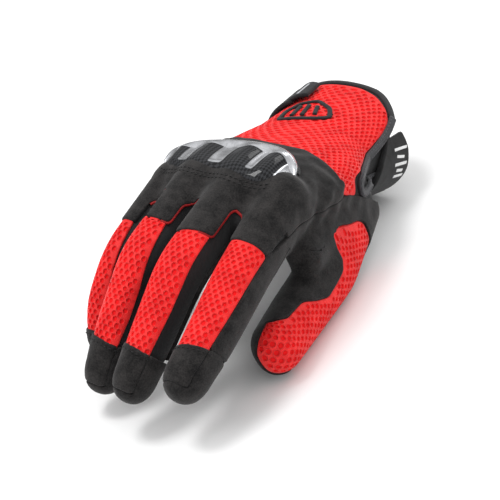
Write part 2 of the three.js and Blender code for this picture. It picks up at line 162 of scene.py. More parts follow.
def limb_local(p, tube):
    """Place of points along, beside and behind a tube's centreline.

    Returns s, x, z, width, height, the distance past an end, and whether it is the last end.
    """
    line = tube["line"]
    best = np.full(len(p), 1e9)
    pick = np.zeros(len(p), int)
    part = np.zeros(len(p))
    for k in range(len(line) - 1):
        leg = line[k + 1] - line[k]
        t = np.clip((p - line[k]) @ leg / (leg @ leg), 0, 1)
        away = ((p - line[k] - t[:, None] * leg) ** 2).sum(1)
        near = away < best
        best[near], pick[near], part[near] = away[near], k, t[near]
    t = part[:, None]

    def mixed(key):
        values = tube[key]
        if values.ndim == 1:
            return values[pick] * (1 - part) + values[pick + 1] * part
        return values[pick] * (1 - t) + values[pick + 1] * t

    q = p - mixed("line")
    x, z = (q * mixed("side")).sum(1), (q * mixed("back")).sum(1)
    run = (q * mixed("tangent")).sum(1)
    first, last = (pick == 0) & (part <= 0), (pick == len(line) - 2) & (part >= 1)
    beyond = np.where(last, np.maximum(run, 0), np.where(first, np.maximum(-run, 0), 0))
    s = mixed("along") + np.where(last, beyond, np.where(first, -beyond, 0))
    return s, x, z, mixed("width"), mixed("height"), beyond, last


# Exponents of the rounded sections: 2 is an ellipse, more is boxier.
ROUND = 2.3
HAND_ROUND = 2.4
# What a limb's distance says for points outside its box, and how far the box reaches past its line.
FAR = 30.0
BOX_MARGIN = 24


def limb_distance(p, tube):
    far = np.full(len(p), FAR)
    near = ((p > tube["low"]) & (p < tube["high"])).all(1)
    if not near.any():
        return far
    s, x, z, width, height, beyond, last = limb_local(p[near], tube)
    end = np.where(last, tube["tip"], height)
    below = tube.get("palm", 1.0) * (1 + tube.get("flare", 0.0) * (1 - smoothstep(10, 44, s)))
    height = np.where(z < 0, height * below, height)
    parts = (np.abs(x) / width) ** ROUND + (np.abs(z) / height) ** ROUND + (beyond / end) ** ROUND
    ratio = (parts + 1e-9) ** (1 / ROUND)
    far[near] = (ratio - 1) * np.minimum(width, height)
    return far


def limb_points(name, tip):
    joints = ["knuckle", "middle", "end"] if name != "thumb" else ["root", "knuckle", "end"]
    return [to_hand(hinge(f"{name}_{j}_bend")[0]) for j in joints] + [np.array(tip, float)]


LIMBS = {}
for finger in KNUCKLES:
    LIMBS[finger] = limb(limb_points(finger, TIPS[finger]),
                         FINGER_WIDTHS[finger], FINGER_HEIGHTS[finger], X_AXIS, 12.0, PALM_SIDE[finger])
THUMB_POINTS = limb_points("thumb", THUMB_TIP)
THUMB_AXIS = unit(np.cross(THUMB_BACK, THUMB_POINTS[2] - THUMB_POINTS[1]))
LIMBS["thumb"] = limb(THUMB_POINTS, THUMB_WIDTHS, THUMB_HEIGHTS, THUMB_AXIS, 12)


def smooth_min(a, b, k):
    h = np.maximum(k - np.abs(a - b), 0) / k
    return np.minimum(a, b) - h * h * k / 4


def section_at(y):
    return [np.interp(y, HAND_SECTIONS[:, 0], HAND_SECTIONS[:, i]) for i in range(1, 7)]


# Line of the knuckles; the hand's full section ends a little behind it and rounds off over its nose.
KNUCKLE_X = np.array([-50, -37.3, -20.2, 0.9, 22.5, 40])
KNUCKLE_Y = np.array([16.0, 15.1, 6.1, 0.8, 1.3, 3.5])
KNUCKLE_SETBACK = 4
HAND_NOSE = 13


def hand_local(p, y=None):
    """Across and up in the hand's cross-section, its half width, and its height or depth on that side."""
    cx, cz, half, up, down, roll = section_at(p[:, 1] if y is None else y)
    turn = np.radians(roll)
    dx, dz = p[:, 0] - cx, p[:, 2] - cz
    across = dx * np.cos(turn) + dz * np.sin(turn)
    height = -dx * np.sin(turn) + dz * np.cos(turn)
    return across, height, half, up, down


def hand_distance(p):
    y = p[:, 1]
    front = np.interp(p[:, 0], KNUCKLE_X, KNUCKLE_Y) + KNUCKLE_SETBACK
    across, height, half, up, down = hand_local(p, np.maximum(y, front))
    tall = np.where(height > 0, up, down)
    beyond = np.maximum(front - y, 0)
    parts = ((np.abs(across) / half) ** HAND_ROUND + (np.abs(height) / tall) ** HAND_ROUND
             + (beyond / HAND_NOSE) ** HAND_ROUND)
    ratio = (parts + 1e-9) ** (1 / HAND_ROUND)
    return (ratio - 1) * np.minimum(half, tall)


def stub(start, end, widths, heights, axis):
    """A short straight tube, for the skin between two fingers."""
    start, end = np.array(start, float), np.array(end, float)
    line = np.array([start, end])
    tangent = unit(np.array([end - start, end - start]))
    back = unit(np.cross(tangent, axis))
    return dict(line=line, along=np.array([0, np.linalg.norm(end - start)]), tangent=tangent, back=back,
                side=np.cross(back, tangent), width=np.array(widths, float), height=np.array(heights, float),
                tip=heights[1], low=line.min(0) - BOX_MARGIN, high=line.max(0) + BOX_MARGIN)


LIMBS["index"]["flare"] = 0.34
WEB_REACH = {("index", "middle"): 11.0, ("middle", "ring"): 9.5, ("ring", "pinky"): 7.0}
WEBS = []
for (first, second), reach in WEB_REACH.items():
    one, other = LIMBS[first], LIMBS[second]
    middle = (one["line"][0] + other["line"][0]) / 2
    forward = unit(one["tangent"][0] + other["tangent"][0])
    WEBS.append(stub(middle - 6 * forward, middle + reach * forward, (9, 6), (9.8, 7.5), X_AXIS))
THUMB_WEB = stub((24, 56, -17), (33.4, 7.4, -21.6), (8.8, 6.2), (9, 6.4), THUMB_AXIS)


def wrinkle(p):
    """Gentle unevenness of the fabric and leather, in millimetres."""
    x, y, z = p[:, 0], p[:, 1], p[:, 2]
    a = np.sin(0.31 * x + 0.22 * y - 0.27 * z + 1.6 * np.sin(0.09 * y - 0.07 * z))
    b = np.sin(0.52 * y - 0.36 * z - 0.18 * x + 1.3 * np.sin(0.13 * x + 0.05 * z) + 0.7)
    c = np.sin(0.74 * z + 0.66 * y + 0.35 * x + 1.1 * np.sin(0.17 * y) + 2.1)
    return (0.16 * a + 0.13 * b + 0.07 * c) * (1 - smoothstep(45, 75, y))


# Widths over which the parts of the hand melt into one another.
BLENDS = {"web": 7, "finger": 3.5, "thumb web": 8, "thumb": 9}


def glove_distance(p):
    """Signed distance-like field of the whole gloved hand, in hand-frame millimetres."""
    total = hand_distance(p) + wrinkle(p)
    for web in WEBS:
        total = smooth_min(total, limb_distance(p, web), BLENDS["web"])
    for finger in KNUCKLES:
        total = smooth_min(total, limb_distance(p, LIMBS[finger]), BLENDS["finger"])
    thumb = smooth_min(limb_distance(p, LIMBS["thumb"]), limb_distance(p, THUMB_WEB), BLENDS["thumb web"])
    return smooth_min(total, thumb, BLENDS["thumb"])


def gradient(p, field=glove_distance, step=0.15):
    g = np.empty_like(p)
    for axis in range(3):
        d = np.zeros(3)
        d[axis] = step
        g[:, axis] = field(p + d) - field(p - d)
    return g / (2 * step)


def snap(p, level=0.0, rounds=4, field=glove_distance, reach=None):
    """Moves points onto the surface at that level."""
    p = np.array(p, float)
    start = p.copy()
    for _ in range(rounds):
        g = gradient(p, field)
        size = np.maximum((g * g).sum(1), 0.05)
        move = ((field(p) - level) / size)[:, None] * g
        length = np.linalg.norm(move, axis=1, keepdims=True)
        p -= move * np.minimum(1, 3 / np.maximum(length, 1e-9))
    if reach is not None:
        away = np.linalg.norm(p - start, axis=1) > reach
        p[away] = start[away]
    return p


# ---------------------------------------------------------------- where a point is on the glove

def on_limb(name, s, u):
    """Surface points at s along a limb's centreline and u round it from the middle of its back."""
    tube = LIMBS[name]
    s, u = np.asarray(s, float), np.asarray(u, float)

    def at(key):
        values = tube[key]
        if values.ndim == 1:
            return np.interp(s, tube["along"], values)
        return np.stack([np.interp(s, tube["along"], values[:, i]) for i in range(3)], 1)

    width, height = at("width"), at("height")
    angle = u / ((width + height) / 2)
    tip = np.maximum(s - tube["along"][-1], 0) / ((width + height) / 2)
    back = np.cos(tip)[:, None] * at("back") + np.sin(tip)[:, None] * at("tangent")
    ray = np.sin(angle)[:, None] * at("side") + np.cos(angle)[:, None] * back
    r = ((np.abs(np.sin(angle)) / width) ** ROUND + (np.abs(np.cos(angle)) / height) ** ROUND) ** (-1 / ROUND)
    start = at("line")
    for _ in range(4):
        here = glove_distance(start + r[:, None] * ray)
        ahead = glove_distance(start + (r + 0.2)[:, None] * ray)
        slope = np.maximum((ahead - here) / 0.2, 0.25)
        r = r - np.clip(here / slope, -2, 2)
    p = start + r[:, None] * ray
    return p, unit(gradient(p))


def limb_place(p, name):
    """s and u of points, as on_limb takes them, and how far they lie back from the centreline."""
    s, x, z, width, height, beyond, last = limb_local(p, LIMBS[name])
    if name == "thumb":
        round_end = np.where(last & (beyond > 0), np.hypot(z, beyond), z)
        turned = np.arctan2(beyond, z)
        s = np.where(last & (beyond > 0), LIMBS[name]["along"][-1] + turned * (width + height) / 2, s)
        return s, np.arctan2(x, round_end) * (width + height) / 2, z
    return s, np.arctan2(x, z) * (width + height) / 2, z


def section_point(y, angle):
    """Points of the plain hand section, without fingers; angle in degrees."""
    cx, cz, half, up, down, roll = section_at(y)
    c, s = np.cos(np.radians(angle)), np.sin(np.radians(angle))
    across = half * np.sign(c) * np.abs(c) ** (2 / HAND_ROUND)
    height = np.where(s > 0, up, down) * np.sign(s) * np.abs(s) ** (2 / HAND_ROUND)
    turn = np.radians(roll)
    return np.stack([cx + across * np.cos(turn) - height * np.sin(turn), y,
                     cz + across * np.sin(turn) + height * np.cos(turn)], -1)


def on_hand(y, angle):
    """Surface points at y along the hand and an angle round it.

    The angle is 0 on the thumb side, 90 on the back, 180 on the outer side and 270 on the palm.
    """
    p = snap(section_point(np.asarray(y, float), np.asarray(angle, float)), 0.0, 3)
    return p, unit(gradient(p))


def hand_angle(p):
    across, height, half, up, down = hand_local(p)
    tall = np.where(height > 0, up, down)
    c, s = across / half, height / tall
    return np.degrees(np.arctan2(np.sign(s) * np.abs(s) ** 1.2, np.sign(c) * np.abs(c) ** 1.2)) % 360


# ---------------------------------------------------------------- meshes

def make_mesh(name, vertices, faces, materials=(), face_material=None, normals=None, hand=True):
    """A smooth-shaded object; vertices in hand-frame millimetres unless hand is False."""
    mesh = bpy.data.meshes.new(name)
    points = to_row(vertices) if hand else np.asarray(vertices, float)
    mesh.vertices.add(len(points))
    mesh.vertices.foreach_set("co", points.ravel())
    sizes = np.array([len(f) for f in faces])
    mesh.loops.add(int(sizes.sum()))
    mesh.loops.foreach_set("vertex_index", np.concatenate([np.asarray(f) for f in faces]).astype(np.int32))
    mesh.polygons.add(len(faces))
    mesh.polygons.foreach_set("loop_start", np.concatenate([[0], np.cumsum(sizes)[:-1]]).astype(np.int32))
    mesh.update(calc_edges=True)
    mesh.polygons.foreach_set("use_smooth", [True] * len(mesh.polygons))
    for material in materials:
        mesh.materials.append(material)
    if face_material is not None:
        mesh.polygons.foreach_set("material_index", np.asarray(face_material, np.int32))
    if normals is not None:
        turned = unit(np.asarray(normals) @ TURN.T) if hand else np.asarray(normals)
        mesh.normals_split_custom_set_from_vertices([tuple(n) for n in turned])
    obj = bpy.data.objects.new(name, mesh)
    bpy.context.scene.collection.objects.link(obj)
    return obj


def compact(vertices, faces, *others):
    """Keeps only the vertices the faces use; others are arrays that go with the vertices."""
    flat = np.concatenate([np.asarray(f) for f in faces])
    used, inverse = np.unique(flat, return_inverse=True)
    out, at = [], 0
    for f in faces:
        out.append(inverse[at:at + len(f)])
        at += len(f)
    return (vertices[used], out) + tuple(o[used] for o in others)


def vertex_normals(vertices, faces):
    normals = np.zeros_like(vertices)
    by_size = {}
    for f in faces:
        by_size.setdefault(len(f), []).append(f)
    for size, group in by_size.items():
        group = np.array(group)
        corner = vertices[group]
        total = np.zeros((len(group), 3))
        for k in range(size):
            total += np.cross(corner[:, k], corner[:, (k + 1) % size])
        for k in range(size):
            np.add.at(normals, group[:, k], total)
    return unit(normals + 1e-12)


def surface_net(field, low, high, pitch, level):
    """A quad mesh of where the field equals level, on a grid."""
    axes = [np.arange(low[i], high[i] + pitch, pitch) for i in range(3)]
    shape = tuple(len(a) for a in axes)
    grid = np.stack(np.meshgrid(*axes, indexing="ij"), -1)
    coarse = tuple(slice(None, None, 4) for _ in range(3))
    rough = field(grid[coarse].reshape(-1, 3)).reshape(grid[coarse].shape[:3])
    values = rough.repeat(4, 0).repeat(4, 1).repeat(4, 2)[:shape[0], :shape[1], :shape[2]].copy()
    near = np.abs(values - level) < 4.5 * pitch + 4
    picked = grid[near]
    chunks = np.array_split(picked, 1 + len(picked) // 50000)
    values[near] = np.concatenate([field(chunk) for chunk in chunks])
    values -= level
    inside = values < 0
    cells = np.zeros(tuple(n - 1 for n in shape), int)
    corner = [(i, j, k) for i in (0, 1) for j in (0, 1) for k in (0, 1)]
    for i, j, k in corner:
        cells += inside[i:shape[0] - 1 + i, j:shape[1] - 1 + j, k:shape[2] - 1 + k]
    active = (cells > 0) & (cells < 8)
    index = -np.ones(active.shape, int)
    where = np.argwhere(active)
    index[active] = np.arange(len(where))
    sums = np.zeros((len(where), 3))
    counts = np.zeros(len(where))
    for a in corner:
        for axis in range(3):
            if a[axis]:
                continue
            b = tuple(a[m] + (m == axis) for m in range(3))
            va = values[where[:, 0] + a[0], where[:, 1] + a[1], where[:, 2] + a[2]]
            vb = values[where[:, 0] + b[0], where[:, 1] + b[1], where[:, 2] + b[2]]
            crossing = (va < 0) != (vb < 0)
            t = np.where(crossing, va / np.where(crossing, va - vb, 1), 0)
            point = where + np.array(a, float)
            point[:, axis] += t
            sums[crossing] += point[crossing]
            counts[crossing] += 1
    vertices = np.array(low) + sums / counts[:, None] * pitch
    faces = []
    for axis in range(3):
        b, c = (axis + 1) % 3, (axis + 2) % 3
        first = [slice(None)] * 3
        first[axis] = slice(0, -1)
        second = [slice(None)] * 3
        second[axis] = slice(1, None)
        edge = np.argwhere(inside[tuple(first)] != inside[tuple(second)])
        edge = edge[(edge[:, b] > 0) & (edge[:, c] > 0)]
        edge = edge[(edge[:, b] < shape[b] - 1) & (edge[:, c] < shape[c] - 1)]
        corners = []
        for db, dc in ((0, 0), (-1, 0), (-1, -1), (0, -1)):
            cell = edge.copy()
            cell[:, b] += db
            cell[:, c] += dc
            corners.append(index[cell[:, 0], cell[:, 1], cell[:, 2]])
        quads = np.stack(corners, 1)
        flip = ~inside[edge[:, 0], edge[:, 1], edge[:, 2]]
        quads[flip] = quads[flip][:, ::-1]
        faces.append(quads)
    quads = np.concatenate(faces)
    triangles = np.concatenate([quads[:, [0, 1, 2]], quads[:, [0, 2, 3]]])
    return vertices, triangles


def cut_along(vertices, triangles, value, level, *fields):
    """Splits the triangles where value crosses level; fields are carried to the new vertices."""
    side = value[triangles] > level
    count = side.sum(1)
    whole = (count == 0) | (count == 3)
    mixed = triangles[~whole]
    if len(mixed) == 0:
        return (vertices, triangles, value) + fields
    one = side[~whole].sum(1) == 1
    lone = np.where(one[:, None], side[~whole], ~side[~whole])
    turn = lone.argmax(1)
    rows = np.arange(len(mixed))
    a, b, c = (mixed[rows, (turn + k) % 3] for k in range(3))
    pairs = np.concatenate([np.stack([a, b], 1), np.stack([a, c], 1)])
    pairs.sort(1)
    edges, inverse = np.unique(pairs, axis=0, return_inverse=True)
    inverse = inverse.ravel()
    t = (level - value[edges[:, 0]]) / (value[edges[:, 1]] - value[edges[:, 0]])
    t = np.clip(t, 0.02, 0.98)

    def carried(array):
        w = t if array.ndim == 1 else t[:, None]
        return np.concatenate([array, array[edges[:, 0]] * (1 - w) + array[edges[:, 1]] * w])

    ab, ac = len(vertices) + inverse[:len(mixed)], len(vertices) + inverse[len(mixed):]
    new = np.concatenate([triangles[whole], np.stack([a, ab, ac], 1), np.stack([ab, b, c], 1),
                          np.stack([ab, c, ac], 1)])
    value = carried(value)
    value[len(vertices):] = level
    return (carried(vertices), new, value) + tuple(carried(f) for f in fields)


def boundary_edges(faces):
    """Directed edges that only one face uses."""
    starts = np.concatenate([np.asarray(f) for f in faces])
    ends = np.concatenate([np.roll(np.asarray(f), -1) for f in faces])
    table = {}
    for a, b in zip(starts.tolist(), ends.tolist()):
        table[(a, b)] = True
    return [(a, b) for a, b in table if (b, a) not in table]


# ---------------------------------------------------------------- where pieces part at the joints

# The thumb's root zone starts past the first of these two distances across the hand, towards the thumb.
THUMB_ACROSS = unit(np.array([0.5, 0, -0.85]))
THUMB_BEND_START, THUMB_BEND_END = 28, 36


for name in LIMBS:
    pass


def follow(obj):
    """Bakes the piece's placement into its mesh."""
    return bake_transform(obj)


def zone_splits(name):
    """Where along a limb its pieces part: in the middle of its first and second links."""
    marks = LIMBS[name]["marks"]
    return marks[1] / 2 + 1, (marks[1] + marks[2]) / 2


# ---------------------------------------------------------------- finishes

def plain(name, color, roughness=0.6, metallic=0.0):
    material = bpy.data.materials.new(name)
    material.use_nodes = True
    shader = material.node_tree.nodes["Principled BSDF"]
    shader.inputs["Base Color"].default_value = (*color, 1)
    shader.inputs["Roughness"].default_value = roughness
    shader.inputs["Metallic"].default_value = metallic
    return material


class Nodes:
    """Small helper for building a material's node tree."""

    def __init__(self, name, **shader):
        self.material = bpy.data.materials.new(name)
        self.material.use_nodes = True
        self.tree = self.material.node_tree
        self.shader = self.tree.nodes["Principled BSDF"]
        for key, value in shader.items():
            self.shader.inputs[key.replace("_", " ").title().replace("Ior", "IOR")].default_value = value
        self.place = self.add("ShaderNodeTexCoord").outputs["Object"]

    def add(self, kind, inputs=None, **props):
        node = self.tree.nodes.new(kind)
        for key, value in props.items():
            setattr(node, key, value)
        for key, value in (inputs or {}).items():
            if isinstance(value, bpy.types.NodeSocket):
                self.tree.links.new(value, node.inputs[key])
            else:
                node.inputs[key].default_value = value
        return node

    def noise(self, scale, detail=3.0, rough=0.6):
        inputs = {"Vector": self.place, "Scale": scale, "Detail": detail, "Roughness": rough}
        return self.add("ShaderNodeTexNoise", inputs).outputs["Fac"]

    def ramp(self, value, stops):
        node = self.add("ShaderNodeValToRGB", {"Fac": value})
        for k, (at, color) in enumerate(stops):
            stop = node.color_ramp.elements[k] if k < 2 else node.color_ramp.elements.new(at)
            stop.position, stop.color = at, (*color, 1)
        return node.outputs["Color"]

    def mixed(self, factor, a, b):
        """Blends two colours by the brightness of a third."""
        node = self.add("ShaderNodeMix", data_type="RGBA")
        self.tree.links.new(factor, node.inputs[0])
        colors = [s for s in node.inputs if s.type == "RGBA"]
        self.tree.links.new(a, colors[0])
        self.tree.links.new(b, colors[1])
        return next(s for s in node.outputs if s.type == "RGBA")

    def math(self, operation, a, b=0.0):
        return self.add("ShaderNodeMath", {0: a, 1: b}, operation=operation).outputs[0]

    def color(self, socket):
        self.tree.links.new(socket, self.shader.inputs["Base Color"])

    def roughness(self, socket):
        self.tree.links.new(socket, self.shader.inputs["Roughness"])

    def bump(self, height, strength, distance):
        node = self.add("ShaderNodeBump", {"Height": height, "Strength": strength, "Distance": distance})
        self.tree.links.new(node.outputs["Normal"], self.shader.inputs["Normal"])


def suede_finish(name, dark, light):
    n = Nodes(name, roughness=0.92, sheen_weight=0.12, sheen_roughness=0.45, specular_ior_level=0.2)
    blotch = n.noise(160, 4, 0.65)
    nap = n.noise(1500, 2, 0.7)
    both = n.math("ADD", n.math("MULTIPLY", blotch, 0.55), n.math("MULTIPLY", nap, 0.45))
    n.color(n.ramp(both, [(0.38, dark), (0.62, light)]))
    n.bump(n.noise(2200, 2, 0.7), 0.35, 0.0003)
    return n.material


def knit_finish(name, color, light):
    n = Nodes(name, roughness=0.78, sheen_weight=0.15, specular_ior_level=0.3)
    rib = n.add("ShaderNodeTexWave", {"Vector": n.place, "Scale": 900.0, "Distortion": 2.0, "Detail": 1.0})
    n.color(n.ramp(n.noise(900, 2, 0.6), [(0.3, color), (0.75, light)]))
    n.bump(rib.outputs["Fac"], 0.25, 0.0002)
    return n.material


def yarn_finish(name, dark, light, roughness=0.55):
    n = Nodes(name, roughness=roughness, sheen_weight=0.05, sheen_roughness=0.4, specular_ior_level=0.22)
    patch = n.noise(120, 3, 0.6)
    thread = n.noise(2600, 2, 0.7)
    both = n.math("ADD", n.math("MULTIPLY", patch, 0.6), n.math("MULTIPLY", thread, 0.4))
    n.color(n.ramp(both, [(0.34, dark), (0.6, light)]))
    n.bump(thread, 0.5, 0.00025)
    return n.material


def weave_finish(name, dark, light, scale=1100.0):
    n = Nodes(name, roughness=0.6, sheen_weight=0.1, specular_ior_level=0.35)
    wave = {"Vector": n.place, "Scale": scale, "Distortion": 0.6}
    one, two = (n.add("ShaderNodeTexWave", wave, bands_direction=axis) for axis in "XZ")
    weave = n.math("MULTIPLY", one.outputs["Fac"], two.outputs["Fac"])
    n.color(n.ramp(n.math("ADD", n.math("MULTIPLY", weave, 0.6), n.math("MULTIPLY", n.noise(500), 0.5)),
                   [(0.15, dark), (0.7, light)]))
    n.bump(weave, 0.4, 0.0002)
    return n.material


def carbon_finish(name):
    """Silver skin where the silver attribute is 1, lacquered twill elsewhere."""
    n = Nodes(name, roughness=0.5, coat_weight=0.32, coat_roughness=0.03, coat_ior=1.5,
              specular_ior_level=0.05)
    uv = n.add("ShaderNodeTexCoord").outputs["UV"]
    check = n.add("ShaderNodeTexChecker", {"Vector": uv, "Scale": 1.0, "Color1": (0.003, 0.003, 0.004, 1),
                                           "Color2": (0.026, 0.027, 0.030, 1)}).outputs["Color"]
    silver = n.add("ShaderNodeAttribute", attribute_name="silver").outputs["Fac"]
    edge = n.ramp(silver, [(0.42, (0, 0, 0)), (0.58, (1, 1, 1))])
    metal = n.ramp(n.noise(140, 4, 0.65), [(0.32, (0.34, 0.345, 0.36)), (0.70, (0.66, 0.67, 0.70))])
    n.color(n.mixed(edge, check, metal))
    mask = n.add("ShaderNodeRGBToBW", {0: edge}).outputs[0]
    n.tree.links.new(n.math("MULTIPLY", mask, 0.92), n.shader.inputs["Metallic"])
    n.roughness(n.math("SUBTRACT", 0.5, n.math("MULTIPLY", mask, 0.24)))
    return n.material


KNIT = knit_finish("black knit", (0.004, 0.004, 0.005), (0.011, 0.011, 0.012))
SUEDE = suede_finish("charcoal suede", (0.0035, 0.0033, 0.0035), (0.029, 0.0265, 0.026))
RED = yarn_finish("red yarn", (0.66, 0.010, 0.011), (0.96, 0.034, 0.032))
DEEP_RED = yarn_finish("deep red backing", (0.66, 0.003, 0.005), (0.86, 0.008, 0.010), 0.8)
BINDING = weave_finish("black binding", (0.004, 0.004, 0.005), (0.02, 0.02, 0.022))
GREY_TAPE = weave_finish("grey tape", (0.010, 0.010, 0.012), (0.045, 0.045, 0.052))
STRAP = suede_finish("black strap", (0.006, 0.006, 0.006), (0.022, 0.022, 0.023))
THREAD = yarn_finish("black thread", (0.003, 0.003, 0.003), (0.012, 0.012, 0.012))
GREY_THREAD = yarn_finish("grey thread", (0.05, 0.05, 0.055), (0.12, 0.12, 0.13))
PIPING = yarn_finish("red piping", (0.16, 0.003, 0.004), (0.36, 0.008, 0.009))
FOAM = suede_finish("foam", (0.02, 0.02, 0.02), (0.05, 0.05, 0.05))
CARBON = carbon_finish("carbon and silver")
RUBBER = suede_finish("soft rubber", (0.012, 0.012, 0.013), (0.03, 0.03, 0.032))
WHITE = yarn_finish("white print", (0.7, 0.7, 0.7), (0.85, 0.85, 0.85))
SILVER = yarn_finish("silver print", (0.35, 0.36, 0.38), (0.55, 0.56, 0.58), 0.35)
HOOK = weave_finish("hook and loop", (0.005, 0.005, 0.005), (0.025, 0.025, 0.026), 700.0)

# ---------------------------------------------------------------- skin of the glove as one fine net

def rear_line(angle):
    """y of the cuff's opening at an angle round the hand; the thumb side is cut shorter."""
    return np.interp(angle % 360, (0, 20, 39, 68, 90, 110, 140, 200, 270, 330, 360),
                     (113, 113, 120, 131, 134.5, 134.5, 133, 128, 126, 120, 113))


NET_PITCH = 1.15
net_points, net_faces = surface_net(glove_distance, (-58, -92, -98), (64, 139, 36), NET_PITCH, 0.0)
net_points = snap(net_points, 0.0, 2, reach=0.9)
net_normals = unit(gradient(net_points))

LABELS = ["hand"] + list(LIMBS)


def label_points(p):
    near = np.stack([hand_distance(p)] + [limb_distance(p, LIMBS[n]) for n in LIMBS], 1)
    return near.argmin(1)


net_label = label_points(net_points)
net_angle = hand_angle(net_points)
PLACES = {n: limb_place(net_points, n) for n in LIMBS}
FINGER_LIST = list(KNUCKLES)
THUMB = LABELS.index("thumb")


def soft_max(a, b, k):
    return -smooth_min(-a, -b, k)


def inside_polygon(points, polygon):
    x, y = points[:, 0], points[:, 1]
    hit = np.zeros(len(points), bool)
    for (x1, y1), (x2, y2) in zip(polygon, np.roll(polygon, -1, 0)):
        cross = (y1 > y) != (y2 > y)
        hit ^= cross & (x < (x2 - x1) * (y - y1) / (y2 - y1 + 1e-12) + x1)
    return hit


def distance_to_outline(points, polygon):
    best = np.full(len(points), 1e9)
    for a, b in zip(polygon, np.roll(polygon, -1, 0)):
        leg = b - a
        t = np.clip((points - a) @ leg / (leg @ leg + 1e-12), 0, 1)
        best = np.minimum(best, np.linalg.norm(points - a - t[:, None] * leg, axis=1))
    return best


def resample(polygon, pitch, rounds=2, corner=3.0):
    """A closed outline with its corners rounded and even spacing."""
    polygon = np.array(polygon, float)
    fine = []
    for a, b in zip(polygon, np.roll(polygon, -1, 0)):
        n = max(1, int(np.linalg.norm(b - a) / corner))
        fine += [a + (b - a) * k / n for k in range(n)]
    polygon = np.array(fine)
    for _ in range(rounds):
        ahead = np.roll(polygon, -1, 0)
        polygon = np.stack([polygon * 0.75 + ahead * 0.25, polygon * 0.25 + ahead * 0.75], 1).reshape(-1, 2)
    legs = np.linalg.norm(np.roll(polygon, -1, 0) - polygon, axis=1)
    marks = np.concatenate([[0], np.cumsum(legs)])
    closed = np.concatenate([polygon, polygon[:1]])
    count = int(marks[-1] / pitch)
    at = np.linspace(0, marks[-1], count, endpoint=False)
    return np.stack([np.interp(at, marks, closed[:, i]) for i in range(2)], 1)


def polygon_field(x, y, polygon):
    """Signed distance to an outline, positive inside."""
    points = np.stack([x, y], 1)
    away = distance_to_outline(points, polygon)
    return np.where(inside_polygon(points, polygon), away, -away)


# Outlines of the red mesh panels on the fingers and thumb: s along the limb, u round it.
STRIPS = {
    "index": [(29.5, -8.6), (31.0, 0), (32.5, 10.6), (56, 9.0), (82, 6.4), (84, -1), (84, -8.4), (56, -8.8)],
    "middle": [(34.5, -8.6), (34.5, 0), (32, 7.6), (56, 7.9), (68, 7.5), (86.5, 5.6), (87.5, -2),
               (86, -8.8), (56, -8.8)],
    "ring": [(30, -8.2), (31, -2), (30, 4.6), (47, 6.4), (59, 7.7), (72, 7.7), (84.5, 5.8), (86, -1),
             (84.5, -8), (56, -8.2)],
    "pinky": [(26, -13), (27, -6), (27, 0.6), (42, 2.2), (58, 3.6), (70, 3.6), (75, -1.5), (75, -8),
              (70, -12.5), (50, -13.5)],
}
OUTLINE_PITCH = 1.1
STRIP_OUTLINES = {name: resample(outline, OUTLINE_PITCH) for name, outline in STRIPS.items()}
THUMB_STRIP = [(17, -1), (20, -4.5), (32.8, -9.2), (42, -11.8), (46.5, -10), (46.8, -4.6), (52, -0.6),
               (60, 0.4), (69.6, 1.0), (78, -3.2), (84.5, -7.6), (92, -8.2), (98.5, -8.6), (104, -14),
               (110, -17), (118, -13), (123, -3), (123, 6), (117, 14), (108, 18), (84, 18), (52, 17.5),
               (30, 15), (18, 11.5)]
THUMB_OUTLINE = resample(THUMB_STRIP, OUTLINE_PITCH)

# Knuckle panel: back of the hand and the four tongues that run on to the fingers.
CROTCH = {"index": (13.5, 22.0), "middle": (14.5, 13.5), "ring": (12.0, 17.0), "pinky": (20.0, 13.5)}
TONGUE_END = {"index": (31.5, 1.4), "middle": (34.8, -1.4), "ring": (31.8, 0.0), "pinky": (28.0, 0.5)}
TONGUE_HALF = {"index": (9.0, 11.4), "middle": (8.9, 8.2), "ring": (8.4, 5.6), "pinky": (13.6, 1.6)}
KNUCKLE_SEAM = ((-40, -28.9, 0.6, 35.6, 60), (-14, -10.2, -4.4, -2.8, -1.5))


def tongue_field(name, s, u):
    """Positive inside a tongue, or behind the U-shaped notches beside it."""
    end, slant = TONGUE_END[name]
    half = np.where(u > 0, TONGUE_HALF[name][1], TONGUE_HALF[name][0])
    crotch = np.where(u > 0, CROTCH[name][1], CROTCH[name][0])
    beside = soft_max(half - np.abs(u), crotch - s, 5)
    ahead = end + slant * np.clip(u / half, -1.4, 1.4) - s
    return smooth_min(beside, ahead, 2.0)


# What a panel's field holds where the panel never reaches.
OUTSIDE = -9.0


def radial_seam(p):
    return (p[:, 2] - np.interp(p[:, 1], *KNUCKLE_SEAM)) * 0.9


def knuckle_field(p, places):
    fields = np.full(len(p), OUTSIDE)
    nearest = np.full(len(p), 1e9)
    for name in FINGER_LIST:
        s, u, _ = places[name]
        away = np.abs(u) + np.where(s > 60, 100, 0)
        mine = away < nearest
        value = tongue_field(name, s, u)
        fields[mine] = value[mine]
        nearest[mine] = away[mine]
    outer = (p[:, 2] - np.interp(p[:, 1], (-20, -8, 15, 40, 60), (-24, -19, -15, -11, -9))) * 0.9
    rear = np.interp(p[:, 0], (-45, -38, -31, -19.3, -4.5, 13, 22, 28, 33.2, 35.5),
                     (64, 60, 55, 50.2, 45, 42.7, 39.3, 36.8, 35.8, 40)) - p[:, 1]
    fields = np.where(p[:, 0] > 15, smooth_min(fields, radial_seam(p), 1.0), fields)
    fields = np.where(p[:, 0] < -22, smooth_min(fields, outer, 1.5), fields)
    fields = smooth_min(fields, rear, 2.0)
    return np.where(p[:, 2] < -34, OUTSIDE, fields)


